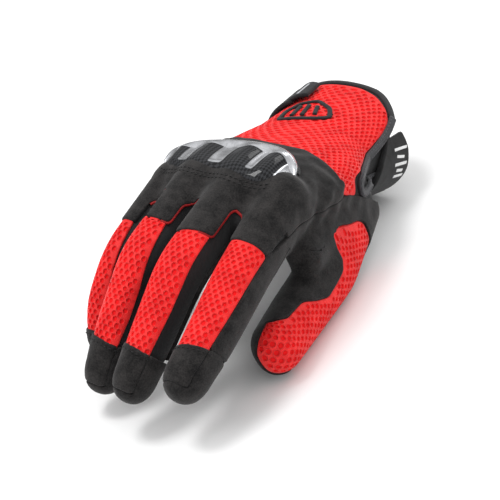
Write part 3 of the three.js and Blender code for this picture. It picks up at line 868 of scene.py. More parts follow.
def panel(value, top, roll, skirt=-1.2):
    """Cuts a panel from the net where value is positive, raised to top with a rolled edge and a skirt."""
    face_ok = (value[net_faces] > -2.5).any(1)
    v, f, normals, g = compact(net_points, net_faces[face_ok], net_normals, value)
    f = np.array(f)
    for level in (roll, roll * 0.45, roll * 0.12, 0.0):
        v, f, g, normals = cut_along(v, f, g, level, normals)
    f = f[(g[f] >= -1e-9).all(1) & (g[f].max(1) > 1e-9)]
    v, f, normals, g = compact(v, f, normals, g)
    f = [tuple(t) for t in f]
    t = np.clip(g / roll, 0, 1)
    height = top - roll * 0.75 * (1 - np.sqrt(1 - (1 - t) ** 2))
    base = snap(v, 0.0, 1, reach=0.9)
    normals = unit(normals)
    v = base + normals * height[:, None]
    edges = boundary_edges(f)
    rim = sorted({i for edge in edges for i in edge})
    place = {i: len(v) + k for k, i in enumerate(rim)}
    v = np.concatenate([v, base[rim] + normals[rim] * skirt])
    f += [(b, a, place[a], place[b]) for a, b in edges if g[a] < 1e-6 and g[b] < 1e-6]
    return v, f


def contour(value, level):
    """Lines on the net where value equals level, as lists of points with their surface normals."""
    side = value[net_faces] > level
    mixed = net_faces[(side.sum(1) > 0) & (side.sum(1) < 3)]
    links, ends = {}, []
    for tri in mixed.tolist():
        cuts = []
        for a, b in ((tri[0], tri[1]), (tri[1], tri[2]), (tri[2], tri[0])):
            if (value[a] > level) != (value[b] > level):
                cuts.append((min(a, b), max(a, b)))
        links.setdefault(cuts[0], []).append(cuts[1])
        links.setdefault(cuts[1], []).append(cuts[0])
    lines, used = [], set()
    starts = [k for k, v in links.items() if len(v) == 1] + list(links)
    for first in starts:
        if first in used:
            continue
        chain, here = [first], first
        used.add(first)
        while True:
            ahead = [n for n in links[here] if n not in used]
            if not ahead:
                break
            here = ahead[0]
            used.add(here)
            chain.append(here)
        if len(chain) < 4:
            continue
        a, b = np.array(chain).T
        t = ((level - value[a]) / (value[b] - value[a]))[:, None]
        points, normals = (array[a] * (1 - t) + array[b] * t for array in (net_points, net_normals))
        lines.append((points, unit(normals)))
    return lines


def evenly(points, normals, pitch):
    """A line resampled to even spacing, lightly smoothed."""
    for _ in range(2):
        inner = (points[:-2] + points[1:-1] * 2 + points[2:]) / 4
        points = np.concatenate([points[:1], inner, points[-1:]])
    legs = np.linalg.norm(np.diff(points, axis=0), axis=1)
    marks = np.concatenate([[0], np.cumsum(legs)])
    at = np.arange(0, marks[-1], pitch)
    both = [np.stack([np.interp(at, marks, a[:, i]) for i in range(3)], 1) for a in (points, normals)]
    return both[0], unit(both[1])


# ---------------------------------------------------------------- sharing a mesh out among the joints

SPLITS = {name: zone_splits(name) for name in LIMBS}
SPLITS["thumb"] = (37.0, SPLITS["thumb"][1])


def zones_of(p):
    """Which joint's zone each point lies in, as 3 * limb + joint, or -1 where it stays with the hand."""
    label = label_points(p)
    across, stations = [], []
    for name in FINGER_LIST:
        s, x, z, *_ = limb_local(p, LIMBS[name])
        across.append(np.abs(x))
        stations.append(s)
    across, stations = np.stack(across, 1), np.stack(stations, 1)
    nearest = across.argmin(1)
    labelled = (label > 0) & (label < THUMB)
    nearest = np.where(labelled, label - 1, nearest)
    s = stations[np.arange(len(p)), nearest]
    pivot = np.array([LIMBS[n]["points"][0][1] for n in FINGER_LIST])
    ahead = p[:, 1] < pivot[nearest] + 10
    first = np.array([SPLITS[n][0] for n in FINGER_LIST])[nearest]
    second = np.array([SPLITS[n][1] for n in FINGER_LIST])[nearest]
    finger = np.where(ahead | labelled, 3 * nearest + (s > first).astype(int) + (s > second), -1)
    finger = np.where((finger >= 0) & ~labelled, 3 * nearest, finger)
    thumb_s = limb_local(p, LIMBS["thumb"])[0]
    root = (p @ THUMB_ACROSS > THUMB_BEND_START) & (p[:, 1] < 85) & (p[:, 0] > 5) & ~labelled
    own = label == THUMB
    thumb_root = 3 * (THUMB - 1)
    code = np.where(root | own, thumb_root, finger)
    code = np.where(own & (thumb_s > SPLITS["thumb"][0]), thumb_root + 1, code)
    return np.where(own & (thumb_s > SPLITS["thumb"][1]), thumb_root + 2, code)


def nearest_finger(p):
    """Which finger's centreline each point lies least far beside."""
    return np.stack([np.abs(limb_local(p, LIMBS[n])[1]) for n in FINGER_LIST], 1).argmin(1)


def piece(name, vertices, faces, materials, code=-1, face_material=None, normals=None):
    """A piece that rides on the hand; one whose code names a joint only has its placement baked in."""
    if normals is None:
        normals = vertex_normals(vertices, faces)
    obj = make_mesh(name, vertices, faces, materials, face_material, normals)
    if code < 0:
        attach(obj, "hand")
    else:
        follow(obj)
    return obj


def share(names, vertices, faces, materials, face_material=None, normals=None, only=None):
    """Parts a mesh by joint; names gives each part's name from its code."""
    if normals is None:
        normals = vertex_normals(vertices, faces)
    centre = np.array([vertices[np.asarray(f)].mean(0) for f in faces])
    code = zones_of(centre)
    if only is not None:
        code = np.where(np.isin(code, only), code, min(only))
    for k in sorted(set(code.tolist())):
        chosen = np.nonzero(code == k)[0]
        v, f, n = compact(vertices, [faces[i] for i in chosen], normals)
        fm = None if face_material is None else np.asarray(face_material)[chosen]
        piece(names(k), v, f, materials, k, fm, n)


def share_by_finger(suffix, vertices, faces, material):
    """Parts a mesh among the fingers; each part is coded with its finger's knuckle."""
    normals = vertex_normals(vertices, faces)
    whose = nearest_finger(np.array([vertices[list(t)].mean(0) for t in faces]))
    for number in sorted(set(whose.tolist())):
        v, f, n = compact(vertices, [faces[i] for i in np.nonzero(whose == number)[0]], normals)
        piece(f"{FINGER_LIST[number]}_{suffix}", v, f, [material], 3 * number, normals=n)


LINKS = {"thumb": ("root", "near", "tip")}


def part_name(suffix):
    """Names like index_cap_back or hand_lining from a code."""
    def name(code):
        if code < 0:
            return f"hand_{suffix}"
        limb_name = list(LIMBS)[code // 3]
        return f"{limb_name}_{suffix}_{LINKS.get(limb_name, ('knuckle', 'near', 'tip'))[code % 3]}"
    return name


# ---------------------------------------------------------------- suede panels

knuckle_value = knuckle_field(net_points, PLACES)


v, f = panel(knuckle_value, 0.75, 0.8)
share_by_finger("knuckle_tongue_suede", v, f, SUEDE)

# Finger caps: a back piece and a palm-side piece that wraps round the tip as a rim.
CAP_RIGHT = {"index": 6.4, "middle": 5.7, "ring": 5.8, "pinky": 4.6}
CAP_START = {"index": (80.3, -0.18), "middle": (84.0, 0.08), "ring": (82.0, 0.1), "pinky": (72.5, 0.0)}
for number, name in enumerate(FINGER_LIST):
    s, u, z = PLACES[name]
    x = limb_local(net_points, LIMBS[name])[1]
    own = net_label == number + 1
    beyond = s - (CAP_START[name][0] + CAP_START[name][1] * np.clip(u, -12, 12))
    tip_left = LIMBS[name]["marks"][3] - s
    down = np.clip((s - CAP_START[name][0]) / 20, 0, 1.3)
    seam = smooth_min(smooth_min(z + 1.5, tip_left - 3.6, 5), CAP_RIGHT[name] - 1.4 * down - x, 2)
    for part, side_of_seam in (("back", seam), ("front", -seam)):
        value = np.where(own, np.minimum(beyond, side_of_seam - 0.12), OUTSIDE)
        v, f = panel(value, 0.7, 0.7)
        piece(f"{name}_cap_{part}_suede", v, f, [SUEDE], 3 * number + 2)

# Palm-side fronts of the fingers, side of the index finger and hand, thumb patch, palm.
index_s, index_u, _ = PLACES["index"]
thumb_s, thumb_u, _ = PLACES["thumb"]
near_thumb = limb_distance(net_points, LIMBS["thumb"]) < 6
thumb_red = np.where(near_thumb, polygon_field(thumb_s, thumb_u, THUMB_OUTLINE), -30.0)
index_red = polygon_field(index_s, index_u, STRIP_OUTLINES["index"])
palm = np.minimum(np.minimum(net_angle - 196, 316 - net_angle) * 0.5, net_points[:, 1] + 14)
palm = np.minimum(palm, 96 - net_points[:, 1])
palm = np.where(net_label == 0, palm, OUTSIDE)
rear_of_side = np.interp(net_points[:, 2], (-24, -16, -10, -7, -5.4, -2, 0), (90, 80, 66, 57, 52, 41, 38))
behind = rear_of_side - net_points[:, 1]
beside_index = smoothstep(29, 35, index_s)
top_edge = -radial_seam(net_points) * (1 - beside_index) - index_red * beside_index - 0.12
cap_edge = CAP_START["index"][0] - 0.18 * index_u - 0.2 - index_s
side = np.minimum.reduce([top_edge, -thumb_red - 0.1, behind, net_points[:, 0] - 12])
side = np.where(net_label == 1, np.minimum.reduce([top_edge, cap_edge, index_u - 2,
                                                   22.5 + np.maximum(16 - index_s, 0) * 4 - index_u]), side)
side = np.where(net_label == 0, np.minimum(side, -palm - 0.15), side)
side = np.where(np.isin(net_label, (0, 1, THUMB)), side, OUTSIDE)
v, f = panel(side, 0.7, 0.75)
share(part_name("side_suede"), v, f, [SUEDE])
for number, name in enumerate(FINGER_LIST):
    s, u, z = PLACES[name]
    edge = 20.5 if name == "index" else 18.5
    value = np.minimum(np.abs(u) - edge, CAP_START[name][0] - 0.3 - s)
    value = np.minimum(value, s - 14)
    value = np.where(net_label == number + 1, value, OUTSIDE)
    if name == "index":
        value = np.where(u > 0, np.minimum(value, u - 22.8 - np.maximum(16 - s, 0) * 4), value)
    v, f = panel(value, 0.6, 0.8)
    share(part_name("front_suede"), v, f, [SUEDE])
v, f = panel(palm, 0.7, 0.9)
share(part_name("palm_suede"), v, f, [SUEDE])

# Base skin, with an inner wall where the cuff is open.
opening = rear_line(net_angle) - net_points[:, 1]
v, f, g, n = cut_along(net_points, net_faces, opening, 0.0, net_normals)
f = f[(g[f] >= -1e-9).all(1) & (g[f].max(1) > 1e-9)]
v, f, n, g = compact(v, f, n, g)
n = unit(n)
outer = v - n * 0.9
f = [tuple(t) for t in f]
inner_rows = [t for t in f if outer[list(t), 1].min() > 45]
used = sorted({i for t in inner_rows for i in t})
place = {i: len(outer) + k for k, i in enumerate(used)}
walls = [(b, a, place[a], place[b]) for a, b in boundary_edges(f) if a in place and b in place]
base_vertices = np.concatenate([outer, v[used] - n[used] * 3.0])
base_faces = f + [tuple(place[i] for i in t[::-1]) for t in inner_rows] + walls
base_normals = vertex_normals(base_vertices, base_faces)
share(part_name("lining"), base_vertices, base_faces, [KNIT], normals=base_normals)

# ---------------------------------------------------------------- perforated mesh panels

# Heights over the skin, in millimetres, and the sizes of what makes up a panel.
EDGE_HEIGHT = -0.45
BACKING_HEIGHT = -0.55
RIM_HEIGHT = -1.2
HOLE_SIDES = 10
HOLE_RINGS = ((0.26, 0.0), (0.08, -0.1), (-0.02, -0.28), (-0.03, -0.62))
HOLE_SWAY, HOLE_SPREAD = 0.07, 0.06
BACKING_PITCH = 2.4


def turning(outline):
    """Twice an outline's area, positive when it runs anticlockwise."""
    ahead = np.roll(outline, -1, 0)
    return (outline[:, 0] * ahead[:, 1] - ahead[:, 0] * outline[:, 1]).sum()


def inset(outline, by):
    run = unit(np.roll(outline, -1, 0) - np.roll(outline, 1, 0))
    normal = np.stack([-run[:, 1], run[:, 0]], 1) * np.sign(turning(outline))
    return outline + normal * by


def staggered(outline, rows, pitch, start, margin):
    """Points inside an outline in staggered rows, at least margin from its edge."""
    low, high = outline.min(0), outline.max(0)
    points = []
    for j in range(int((high[0] - low[0]) / rows) + 2):
        for i in range(int((high[1] - low[1]) / pitch) + 2):
            points.append((low[0] + start + j * rows, low[1] + start + (i + 0.5 * (j % 2)) * pitch))
    points = np.array(points)
    points = points[inside_polygon(points, outline)]
    return points[distance_to_outline(points, outline) > margin]


def perforated(outline, chart, pitch, rows, hole):
    """A fabric panel with staggered oval holes over a darker backing: vertices, faces, material per face."""
    outline = resample(outline, OUTLINE_PITCH)
    band = inset(outline, 0.45)
    centres = staggered(outline, rows, pitch, 0, max(hole) + 0.5)
    sides = HOLE_SIDES
    around = np.arange(sides) / sides * 2 * math.pi
    circle = np.stack([np.cos(around), np.sin(around)], 1)
    centres = centres + HOLE_SWAY * rng.standard_normal((len(centres), 2))
    size = np.array(hole)[None, :] * (1 + HOLE_SPREAD * rng.standard_normal((len(centres), 1)))
    rings = []
    for grow, depth in HOLE_RINGS:
        rings.append((centres[:, None] + circle[None] * (size[:, None] + grow), depth))
    count = len(outline)
    flat = [outline, band] + [rings[0][0].reshape(-1, 2)]
    points2 = np.concatenate(flat)
    edges = [(i, (i + 1) % count) for i in range(count)]
    edges += [(count + i, count + (i + 1) % count) for i in range(count)]
    first = 2 * count
    for h in range(len(centres)):
        edges += [(first + h * sides + k, first + h * sides + (k + 1) % sides) for k in range(sides)]
    result = delaunay_2d_cdt([Vector(p) for p in points2], edges, [tuple(range(count))], 1, 1e-5)
    got = np.array([tuple(v) for v in result[0]])
    triangles = [tuple(t) for t in result[2]]
    origin = np.array([o[0] if o else -1 for o in result[3]])
    corner = got[np.array(triangles)]
    middle = corner.mean(1)
    ring_id = np.where(origin >= first, (origin - first) // sides, -1)
    tri_rings = ring_id[np.array(triangles)]
    same_ring = (tri_rings[:, 0] == tri_rings[:, 1]) & (tri_rings[:, 1] == tri_rings[:, 2])
    solid = ~((tri_rings[:, 0] >= 0) & same_ring)
    area = np.cross(corner[:, 1] - corner[:, 0], corner[:, 2] - corner[:, 0])
    flat_points = [got]
    heights = [np.where(origin < count, EDGE_HEIGHT, 0.0)]
    faces, material = [], []
    back_to = {int(o): i for i, o in enumerate(origin)}
    for t, ok, a in zip(triangles, solid, area):
        if ok:
            faces.append(t if a > 0 else t[::-1])
            material.append(0)
    start = len(got)
    upper = np.array([[back_to[first + h * sides + k] for k in range(sides)] for h in range(len(centres))])
    for ring, depth in rings[1:]:
        flat_points.append(ring.reshape(-1, 2))
        heights.append(np.full(len(centres) * sides, depth))
        lower = start + np.arange(len(centres) * sides).reshape(-1, sides)
        for h in range(len(centres)):
            for k in range(sides):
                n = (k + 1) % sides
                faces.append((upper[h, n], upper[h, k], lower[h, k], lower[h, n]))
                material.append(0 if depth > -0.5 else 1)
        upper = lower
        start += len(centres) * sides
    rim = np.array([back_to[i] for i in range(count)])
    flat_points.append(outline)
    heights.append(np.full(count, RIM_HEIGHT))
    down = start + np.arange(count)
    for i in range(count):
        n = (i + 1) % count
        quad = (rim[n], rim[i], down[i], down[n])
        faces.append(quad if turning(outline) > 0 else quad[::-1])
        material.append(0)
    start += count
    lattice = staggered(outline, BACKING_PITCH, BACKING_PITCH, BACKING_PITCH / 2, 0.9)
    under = np.concatenate([outline, lattice])
    result = delaunay_2d_cdt([Vector(p) for p in under], [(i, (i + 1) % count) for i in range(count)],
                             [tuple(range(count))], 1, 1e-5)
    got = np.array([tuple(v) for v in result[0]])
    flat_points.append(got)
    heights.append(np.full(len(got), BACKING_HEIGHT))
    for t in result[2]:
        a, b, c = got[list(t)]
        t = tuple(start + i for i in t)
        faces.append(t if np.cross(b - a, c - a) > 0 else t[::-1])
        material.append(1)
    flat_points, heights = np.concatenate(flat_points), np.concatenate(heights)
    p, n = chart(flat_points[:, 0], flat_points[:, 1])
    return p + n * heights[:, None], [tuple(int(i) for i in f) for f in faces], np.array(material)


for number, name in enumerate(FINGER_LIST):
    v, f, m = perforated(STRIP_OUTLINES[name], lambda s, u: on_limb(name, s, u), 2.9, 2.05, (0.9, 0.76))
    share(part_name("mesh"), v, f, [RED, DEEP_RED], m, only=(3 * number + 1, 3 * number + 2))

v, f, m = perforated(THUMB_OUTLINE, lambda s, u: on_limb("thumb", s, u), 3.4, 2.5, (1.04, 0.94))
share(part_name("mesh"), v, f, [RED, DEEP_RED], m, only=(12, 13, 14))

# Cuff mesh: y along the hand, w across from the middle of the back.
HAND_STEP = 0.58


def on_cuff(y, w):
    return on_hand(y, 90 - w / HAND_STEP)


def cuff_at(y, angle):
    return (y, (90 - angle) * HAND_STEP)


CUFF_OUTLINE = resample([cuff_at(*c) for c in (
    (132.6, 101), (132.6, 86), (128.9, 68), (123, 50), (117, 38), (107, 30), (96, 24.5), (87, 20), (77, 17),
    (66, 14), (57, 10), (53.5, 4), (53, -6), (52, -10.5), (46, -8), (40.5, -5), (37, 4), (34.5, 12),
    (35.4, 39), (40.5, 64), (43, 88), (48, 106), (54, 130), (60, 150), (66, 164), (90, 166), (112, 164),
    (126, 160), (131, 140), (132.6, 120))],
    OUTLINE_PITCH, 1)
v, f, m = perforated(CUFF_OUTLINE, on_cuff, 4.1, 2.95, (1.3, 1.08))
piece("cuff_back_red_mesh", v, f, [RED, DEEP_RED], face_material=m)

# ---------------------------------------------------------------- cords, ribbons and slabs

def swept(points, normals, width, height, lift, sides=10, closed=False, power=2.6):
    """A ribbon or cord of rounded section along a line on the surface."""
    if closed:
        tangent = unit(np.roll(points, -1, 0) - np.roll(points, 1, 0))
    else:
        tangent = unit(np.gradient(points, axis=0))
    side = unit(np.cross(normals, tangent))
    up = np.cross(tangent, side)
    around = (np.arange(sides) + 0.5) / sides * 2 * math.pi
    c, s = np.cos(around), np.sin(around)
    width = np.broadcast_to(width, len(points))
    height = np.broadcast_to(height, len(points))
    lift = np.broadcast_to(lift, len(points))
    across = width[:, None] / 2 * (np.sign(c) * np.abs(c) ** (2 / power))[None]
    tall = height[:, None] / 2 * (np.sign(s) * np.abs(s) ** (2 / power))[None] + lift[:, None]
    v = (points[:, None] + side[:, None] * across[..., None] + up[:, None] * tall[..., None]).reshape(-1, 3)
    faces = []
    rings = len(points)
    for i in range(rings if closed else rings - 1):
        j = (i + 1) % rings
        for k in range(sides):
            n = (k + 1) % sides
            faces.append((i * sides + k, j * sides + k, j * sides + n, i * sides + n))
    if not closed:
        faces.append(tuple(range(sides)))
        faces.append(tuple(range((rings - 1) * sides, rings * sides))[::-1])
    return v, [f[::-1] for f in faces] if faces_point_inwards(v, faces, sides) else faces


def faces_point_inwards(v, faces, sides):
    """Whether the faces of a swept tube point inwards."""
    quad = v[list(faces[0])]
    ring = v[:sides].mean(0)
    return np.cross(quad[1] - quad[0], quad[2] - quad[1]) @ (quad.mean(0) - ring) < 0


def joined(parts):
    """Several (vertices, faces) as one."""
    vertices, faces, at = [], [], 0
    for v, f in parts:
        vertices.append(v)
        faces += [tuple(i + at for i in t) for t in f]
        at += len(v)
    return np.concatenate(vertices), faces


def stitch_row(points, normals, lift, length=1.7, gap=1.0, radius=0.22):
    """Short raised stitches along a line."""
    points, normals = evenly(points, normals, (length + gap) / 6)
    made = []
    for start in range(0, len(points) - 5, 6):
        p, n = points[start:start + 5], normals[start:start + 5]
        size = np.array([0.35, 0.9, 1.0, 0.9, 0.35]) * 2 * radius
        arch = lift + np.array([-0.12, 0, 0.05, 0, -0.12])
        made.append(swept(p, n, size * 1.25, size, arch, 6, False, 2.0))
    return made


def slab(grid, normals, top, bottom, roll=0.6):
    """A patch with thickness: grid is rows x columns of points; top and bottom are heights over them."""
    rows, columns = grid.shape[:2]
    along = np.linalg.norm(np.diff(grid, axis=0), axis=2).mean(1)
    over = np.linalg.norm(np.diff(grid, axis=1), axis=2).mean(0)
    i = np.concatenate([[0], np.cumsum(along)])
    j = np.concatenate([[0], np.cumsum(over)])
    edge = np.minimum(np.minimum(i, i[-1] - i)[:, None], np.minimum(j, j[-1] - j)[None])
    t = np.clip(edge / roll, 0, 1)
    dip = roll * 0.8 * (1 - np.sqrt(1 - (1 - t) ** 2))
    top = np.broadcast_to(top, edge.shape) - dip
    upper = grid + normals * top[..., None]
    lower = grid + normals * np.broadcast_to(bottom, edge.shape)[..., None]
    v = np.concatenate([upper.reshape(-1, 3), lower.reshape(-1, 3)])
    number = np.arange(rows * columns).reshape(rows, columns)
    count = rows * columns
    faces = []
    for a in range(rows - 1):
        for b in range(columns - 1):
            q = (number[a, b], number[a + 1, b], number[a + 1, b + 1], number[a, b + 1])
            faces.append(q)
            faces.append(tuple(k + count for k in q[::-1]))
    rim = list(number[0, :]) + list(number[1:, -1]) + list(number[-1, -2::-1]) + list(number[-2:0:-1, 0])
    for a, b in zip(rim, rim[1:] + rim[:1]):
        faces.append((a, b, b + count, a + count))
    first = v[list(faces[0])]
    if np.cross(first[1] - first[0], first[2] - first[1]) @ normals[0, 0] < 0:
        faces = [f[::-1] for f in faces]
    return v, [tuple(int(k) for k in f) for f in faces]


def curve_through(points, count):
    """A smooth line through control points, evenly stepped."""
    points = np.array(points, float)
    extended = np.concatenate([[2 * points[0] - points[1]], points, [2 * points[-1] - points[-2]]])
    out = []
    for k in range(len(points) - 1):
        p0, p1, p2, p3 = extended[k:k + 4]
        for t in np.linspace(0, 1, 12, endpoint=False):
            out.append(0.5 * (2 * p1 + (p2 - p0) * t + (2 * p0 - 5 * p1 + 4 * p2 - p3) * t * t
                              + (3 * p1 - p0 - 3 * p2 + p3) * t ** 3))
    out = np.array(out + [points[-1]])
    marks = np.concatenate([[0], np.cumsum(np.linalg.norm(np.diff(out, axis=0), axis=1))])
    at = np.linspace(0, marks[-1], count)
    return np.stack([np.interp(at, marks, out[:, i]) for i in range(out.shape[1])], 1)


def hand_line(controls, count):
    """A line on the hand through (y, angle) controls."""
    line = curve_through(controls, count)
    return on_hand(line[:, 0], line[:, 1])


def section_surface(y, angle):
    """Points of the plain hand section with normals."""
    p = section_point(y, angle)
    n = np.cross(section_point(y + 0.5, angle) - p, section_point(y, angle + 0.5) - p)
    return p, -unit(n) if n[..., 2].mean() < 0 else unit(n)


# ---------------------------------------------------------------- knuckle guard and its foam

GUARD_ANGLE = (156, 144, 125, 100, 79, 62, 52, 43, 38)
GUARD_FRONT = (18.0, 13.5, 7.0, 0.6, -4.2, -5.2, -4.4, -1.5, 4.5)
GUARD_REAR = (24.5, 28.0, 30.0, 29.5, 27.0, 24.0, 20.5, 15.5, 9.0)
GUARD_TALL = (2.6, 4.4, 4.9, 5.4, 6.2, 6.6, 6.0, 3.4, 0.8)
DOME_ANGLE = (58, 80, 103, 129)
DOME_SPREAD = 8.2
GUARD_START, GUARD_END = 155.5, 38.5
RIDGE = 0.74


def guard_grid(count_a, count_b):
    a = np.linspace(0, 1, count_a)
    angle = GUARD_START + (GUARD_END - GUARD_START) * a
    fine = np.linspace(GUARD_ANGLE[-1], GUARD_ANGLE[0], 400)
    kernel = np.hanning(31)
    kernel /= kernel.sum()

    def along(values):
        """Values given at the guard's angles, smoothed."""
        smooth = np.interp(fine, np.array(GUARD_ANGLE[::-1], float), np.array(values[::-1], float))
        smooth = np.convolve(np.pad(smooth, len(kernel) // 2, mode="edge"), kernel, "valid")
        return np.interp(angle, fine, smooth)

    front, rear, tall = along(GUARD_FRONT), along(GUARD_REAR), along(GUARD_TALL)
    b = np.linspace(0, 1, count_b)
    y = front[:, None] + (rear - front)[:, None] * b[None]
    angles = np.broadcast_to(angle[:, None], y.shape)
    p, n = section_surface(y, angles)
    up = np.sin(np.pi / 2 * np.minimum(b / RIDGE, 1)) ** 0.62
    rise = up * np.cos(np.pi / 2 * np.clip((b - RIDGE) / (1 - RIDGE), 0, 1)) ** 0.8
    height = tall[:, None] * rise[None] - 0.3 + 1.4 * smoothstep(0.0, 0.16, b)[None]
    dome = np.zeros_like(y)
    for centre in DOME_ANGLE:
        dome = np.maximum(dome, np.exp(-((angles - centre) / DOME_SPREAD) ** 2))
    valley = 1 - dome
    front_zone = smoothstep(0.02, 0.2, b)[None] * (1 - smoothstep(0.6, 0.78, b))[None]
    height = height - valley * front_zone * np.minimum(2.8, 0.42 * height)
    band = smoothstep(0.58, 0.66, b)[None] * (1 - smoothstep(0.92, 0.96, b))[None]
    between = smoothstep(0.55, 0.72, valley) * smoothstep(0.06, 0.16, b)[None]
    band = np.maximum(band, between * (b[None] < 0.75))
    end = np.minimum(a, 1 - a)[:, None]
    band = np.maximum(band, (1 - smoothstep(0.0, 0.035, end)) * smoothstep(0.1, 0.3, b)[None])
    height = height + 0.45 * band
    return p, n, height, band, angles, y


p, n, height, band, angles, y = guard_grid(170, 64)
v, f = slab(p, n, height, -1.5, 0.5)
silver = np.concatenate([band.ravel(), np.zeros(band.size)])
guard = piece("knuckle_guard_shell", v, f, [CARBON])
attribute = guard.data.attributes.new("silver", "FLOAT", "POINT")
attribute.data.foreach_set("value", silver.astype(np.float32))
uv = guard.data.uv_layers.new(name="UVMap")
flat = np.stack([angles.ravel() * 0.62, y.ravel()], 1) / 1.1
flat = np.concatenate([flat, flat])
turned = np.stack([flat[:, 0] + flat[:, 1], flat[:, 0] - flat[:, 1]], 1) * 0.7071
corners = np.empty(len(guard.data.loops), np.int32)
guard.data.loops.foreach_get("vertex_index", corners)
uv.data.foreach_set("uv", turned[corners].astype(np.float32).ravel())
v, f = slab(p[6:-6:3, 4:-4:3], n[6:-6:3, 4:-4:3], height[6:-6:3, 4:-4:3] * 0.55, -0.6, 1.5)
foam = piece("knuckle_foam_pad", v, f, [FOAM])
# black rim behind the guard
rim_points = p[4:-3, -1] + n[4:-3, -1] * 0.9
v, f = swept(rim_points, n[4:-3, -1], 2.0, 1.6, 0.2)
piece("guard_rear_rim", v, f, [BINDING])

# ---------------------------------------------------------------- stitches and piping

rows = []
front_line = np.array([[GUARD_FRONT[k], GUARD_ANGLE[k]] for k in range(0, 9)], float)
for shift in (-2.0, -4.4):
    q, m = hand_line(front_line[1:8] + [shift, 0], 120)
    rows += stitch_row(q, m, 0.9, 1.5, 0.9, 0.26)
v, f = joined(rows)
share(part_name("guard_stitches"), v, f, [THREAD], only=(-1, 0, 3, 6, 9))
for number, name in enumerate(FINGER_LIST):
    start, slope = CAP_START[name]
    u = np.linspace(-9, 8.5, 30)
    if name == "pinky":
        u = np.linspace(-14, 3, 30)
    q, m = on_limb(name, start + slope * u + 1.7, u)
    v, f = joined(stitch_row(q, m, 0.85, 1.3, 0.8, 0.24))
    piece(f"{name}_cap_stitches", v, f, [THREAD], 3 * number + 2)
parts = []
finger_axes = [LIMBS[n] for n in FINGER_LIST]
for q, m in contour(knuckle_value, -0.25):
    q, m = evenly(q, m, 0.8)
    who = np.stack([limb_distance(q, tube) for tube in finger_axes], 1).argmin(1)
    s_here, u_here = np.empty(len(q)), np.empty(len(q))
    for k, name in enumerate(FINGER_LIST):
        s_k, u_k, _ = limb_place(q, name)
        s_here[who == k], u_here[who == k] = s_k[who == k], u_k[who == k]
    wanted = (s_here > 8) & (s_here < 38) & (((u_here > 2) & (who > 0)) | ((u_here < 0) & (s_here < 19)))
    wanted &= ~((who == 3) & (u_here < 0))
    wanted &= ~((who == 0) & (u_here > 0))
    run = []
    for k in range(len(q)):
        if wanted[k]:
            run.append(k)
        if (not wanted[k] or k == len(q) - 1) and run:
            if len(run) > 8:
                parts.append(swept(q[run], m[run], 1.3, 0.9, -0.15, 8, False, 2.0))
            run = []
v, f = joined(parts)
share_by_finger("piping_knuckle", v, f, PIPING)

# ---------------------------------------------------------------- cuff bindings, badge, strap

REAR_PATH = [(131, 200), (133.5, 175), (135, 150), (136, 128), (136, 105), (135.6, 88), (132.5, 68),
             (127, 52), (121.5, 38)]
SLIT_PATH = [(121.5, 38), (112.5, 29.5), (104, 23.5), (95, 18), (86, 13), (76, 9.5), (67, 7), (60.5, 3),
             (57.5, -3), (58.5, -9), (63, -13.5), (70, -14.5), (80, -13), (92, -13), (105, -15), (114, -17)]
PALM_PATH = [(131, 200), (129.5, 215), (128.5, 240), (127.5, 270), (126.5, 300), (124, 325), (118, 341)]
q, m = hand_line(REAR_PATH, 170)
rear = swept(q, m, 3.4, 2.6, -0.3, 12)
q2, m2 = hand_line(PALM_PATH, 110)
under = swept(q2, m2, 3.4, 2.6, -0.3, 12)
v, f = joined([rear, under])
piece("cuff_rear_binding", v, f, [BINDING])
q, m = hand_line(SLIT_PATH, 150)
v, f = swept(q, m, 4.0, 1.9, 0.3, 12)
piece("slit_tape", v, f, [GREY_TAPE])
lateral = unit(np.cross(m, np.gradient(q, axis=0)))
rows = []
for shift in (-1.3, 1.3):
    rows += stitch_row(q + lateral * shift, m, 1.3, 1.5, 1.1, 0.2)
v, f = joined(rows)
piece("slit_tape_stitches", v, f, [GREY_THREAD])


def hand_patch(low_y, high_y, angles, count_a, count_b):
    """A grid on the hand: angles from first to last, y between two curves given at those angles."""
    t = np.linspace(0, 1, count_a)
    angle, low, high = (np.interp(t, np.linspace(0, 1, len(angles)), row) for row in (angles, low_y, high_y))
    b = np.linspace(0, 1, count_b)
    y = low[:, None] + (high - low)[:, None] * b[None]
    p, n = on_hand(y.ravel(), np.broadcast_to(angle[:, None], y.shape).ravel())
    return p.reshape(count_a, count_b, 3), n.reshape(count_a, count_b, 3), t


# badge: a slim rounded frame with three slanting bars
BADGE = [(84, 116), (88, 92), (93, 82), (103, 90), (108, 101), (104, 116), (95, 121)]
loop = resample(np.array(BADGE, float) * [1, HAND_STEP], 0.9, 2) / [1, HAND_STEP]
q, m = on_hand(loop[:, 0], loop[:, 1])
parts = [swept(q, m, 2.4, 1.3, 0.35, 10, True)]
for first, last in (((89, 108), (101, 112)), ((90.5, 100), (102.5, 105)), ((93, 92), (102, 97))):
    q, m = hand_line([first, last], 14)
    parts.append(swept(q, m, 2.2, 1.2, 0.35, 10))
v, f = joined(parts)
piece("cuff_badge_frame", v, f, [RUBBER])

# strap: anchor from the slit, flap under the wrist, end on the outer side
p, n, t = hand_patch((106, 101, 95, 90, 87, 89, 92), (122, 124, 126, 127, 127, 126, 125),
                     (20, 10, 0, -12, -24, -35, -45), 60, 34)
WEBBING_HALF = 1.1


def anchor_lift(along):
    """Height of the anchor's middle over the skin, from 0 at the slit to 1 at the flap."""
    return 0.5 + 2.6 * smoothstep(0.0, 0.6, along)


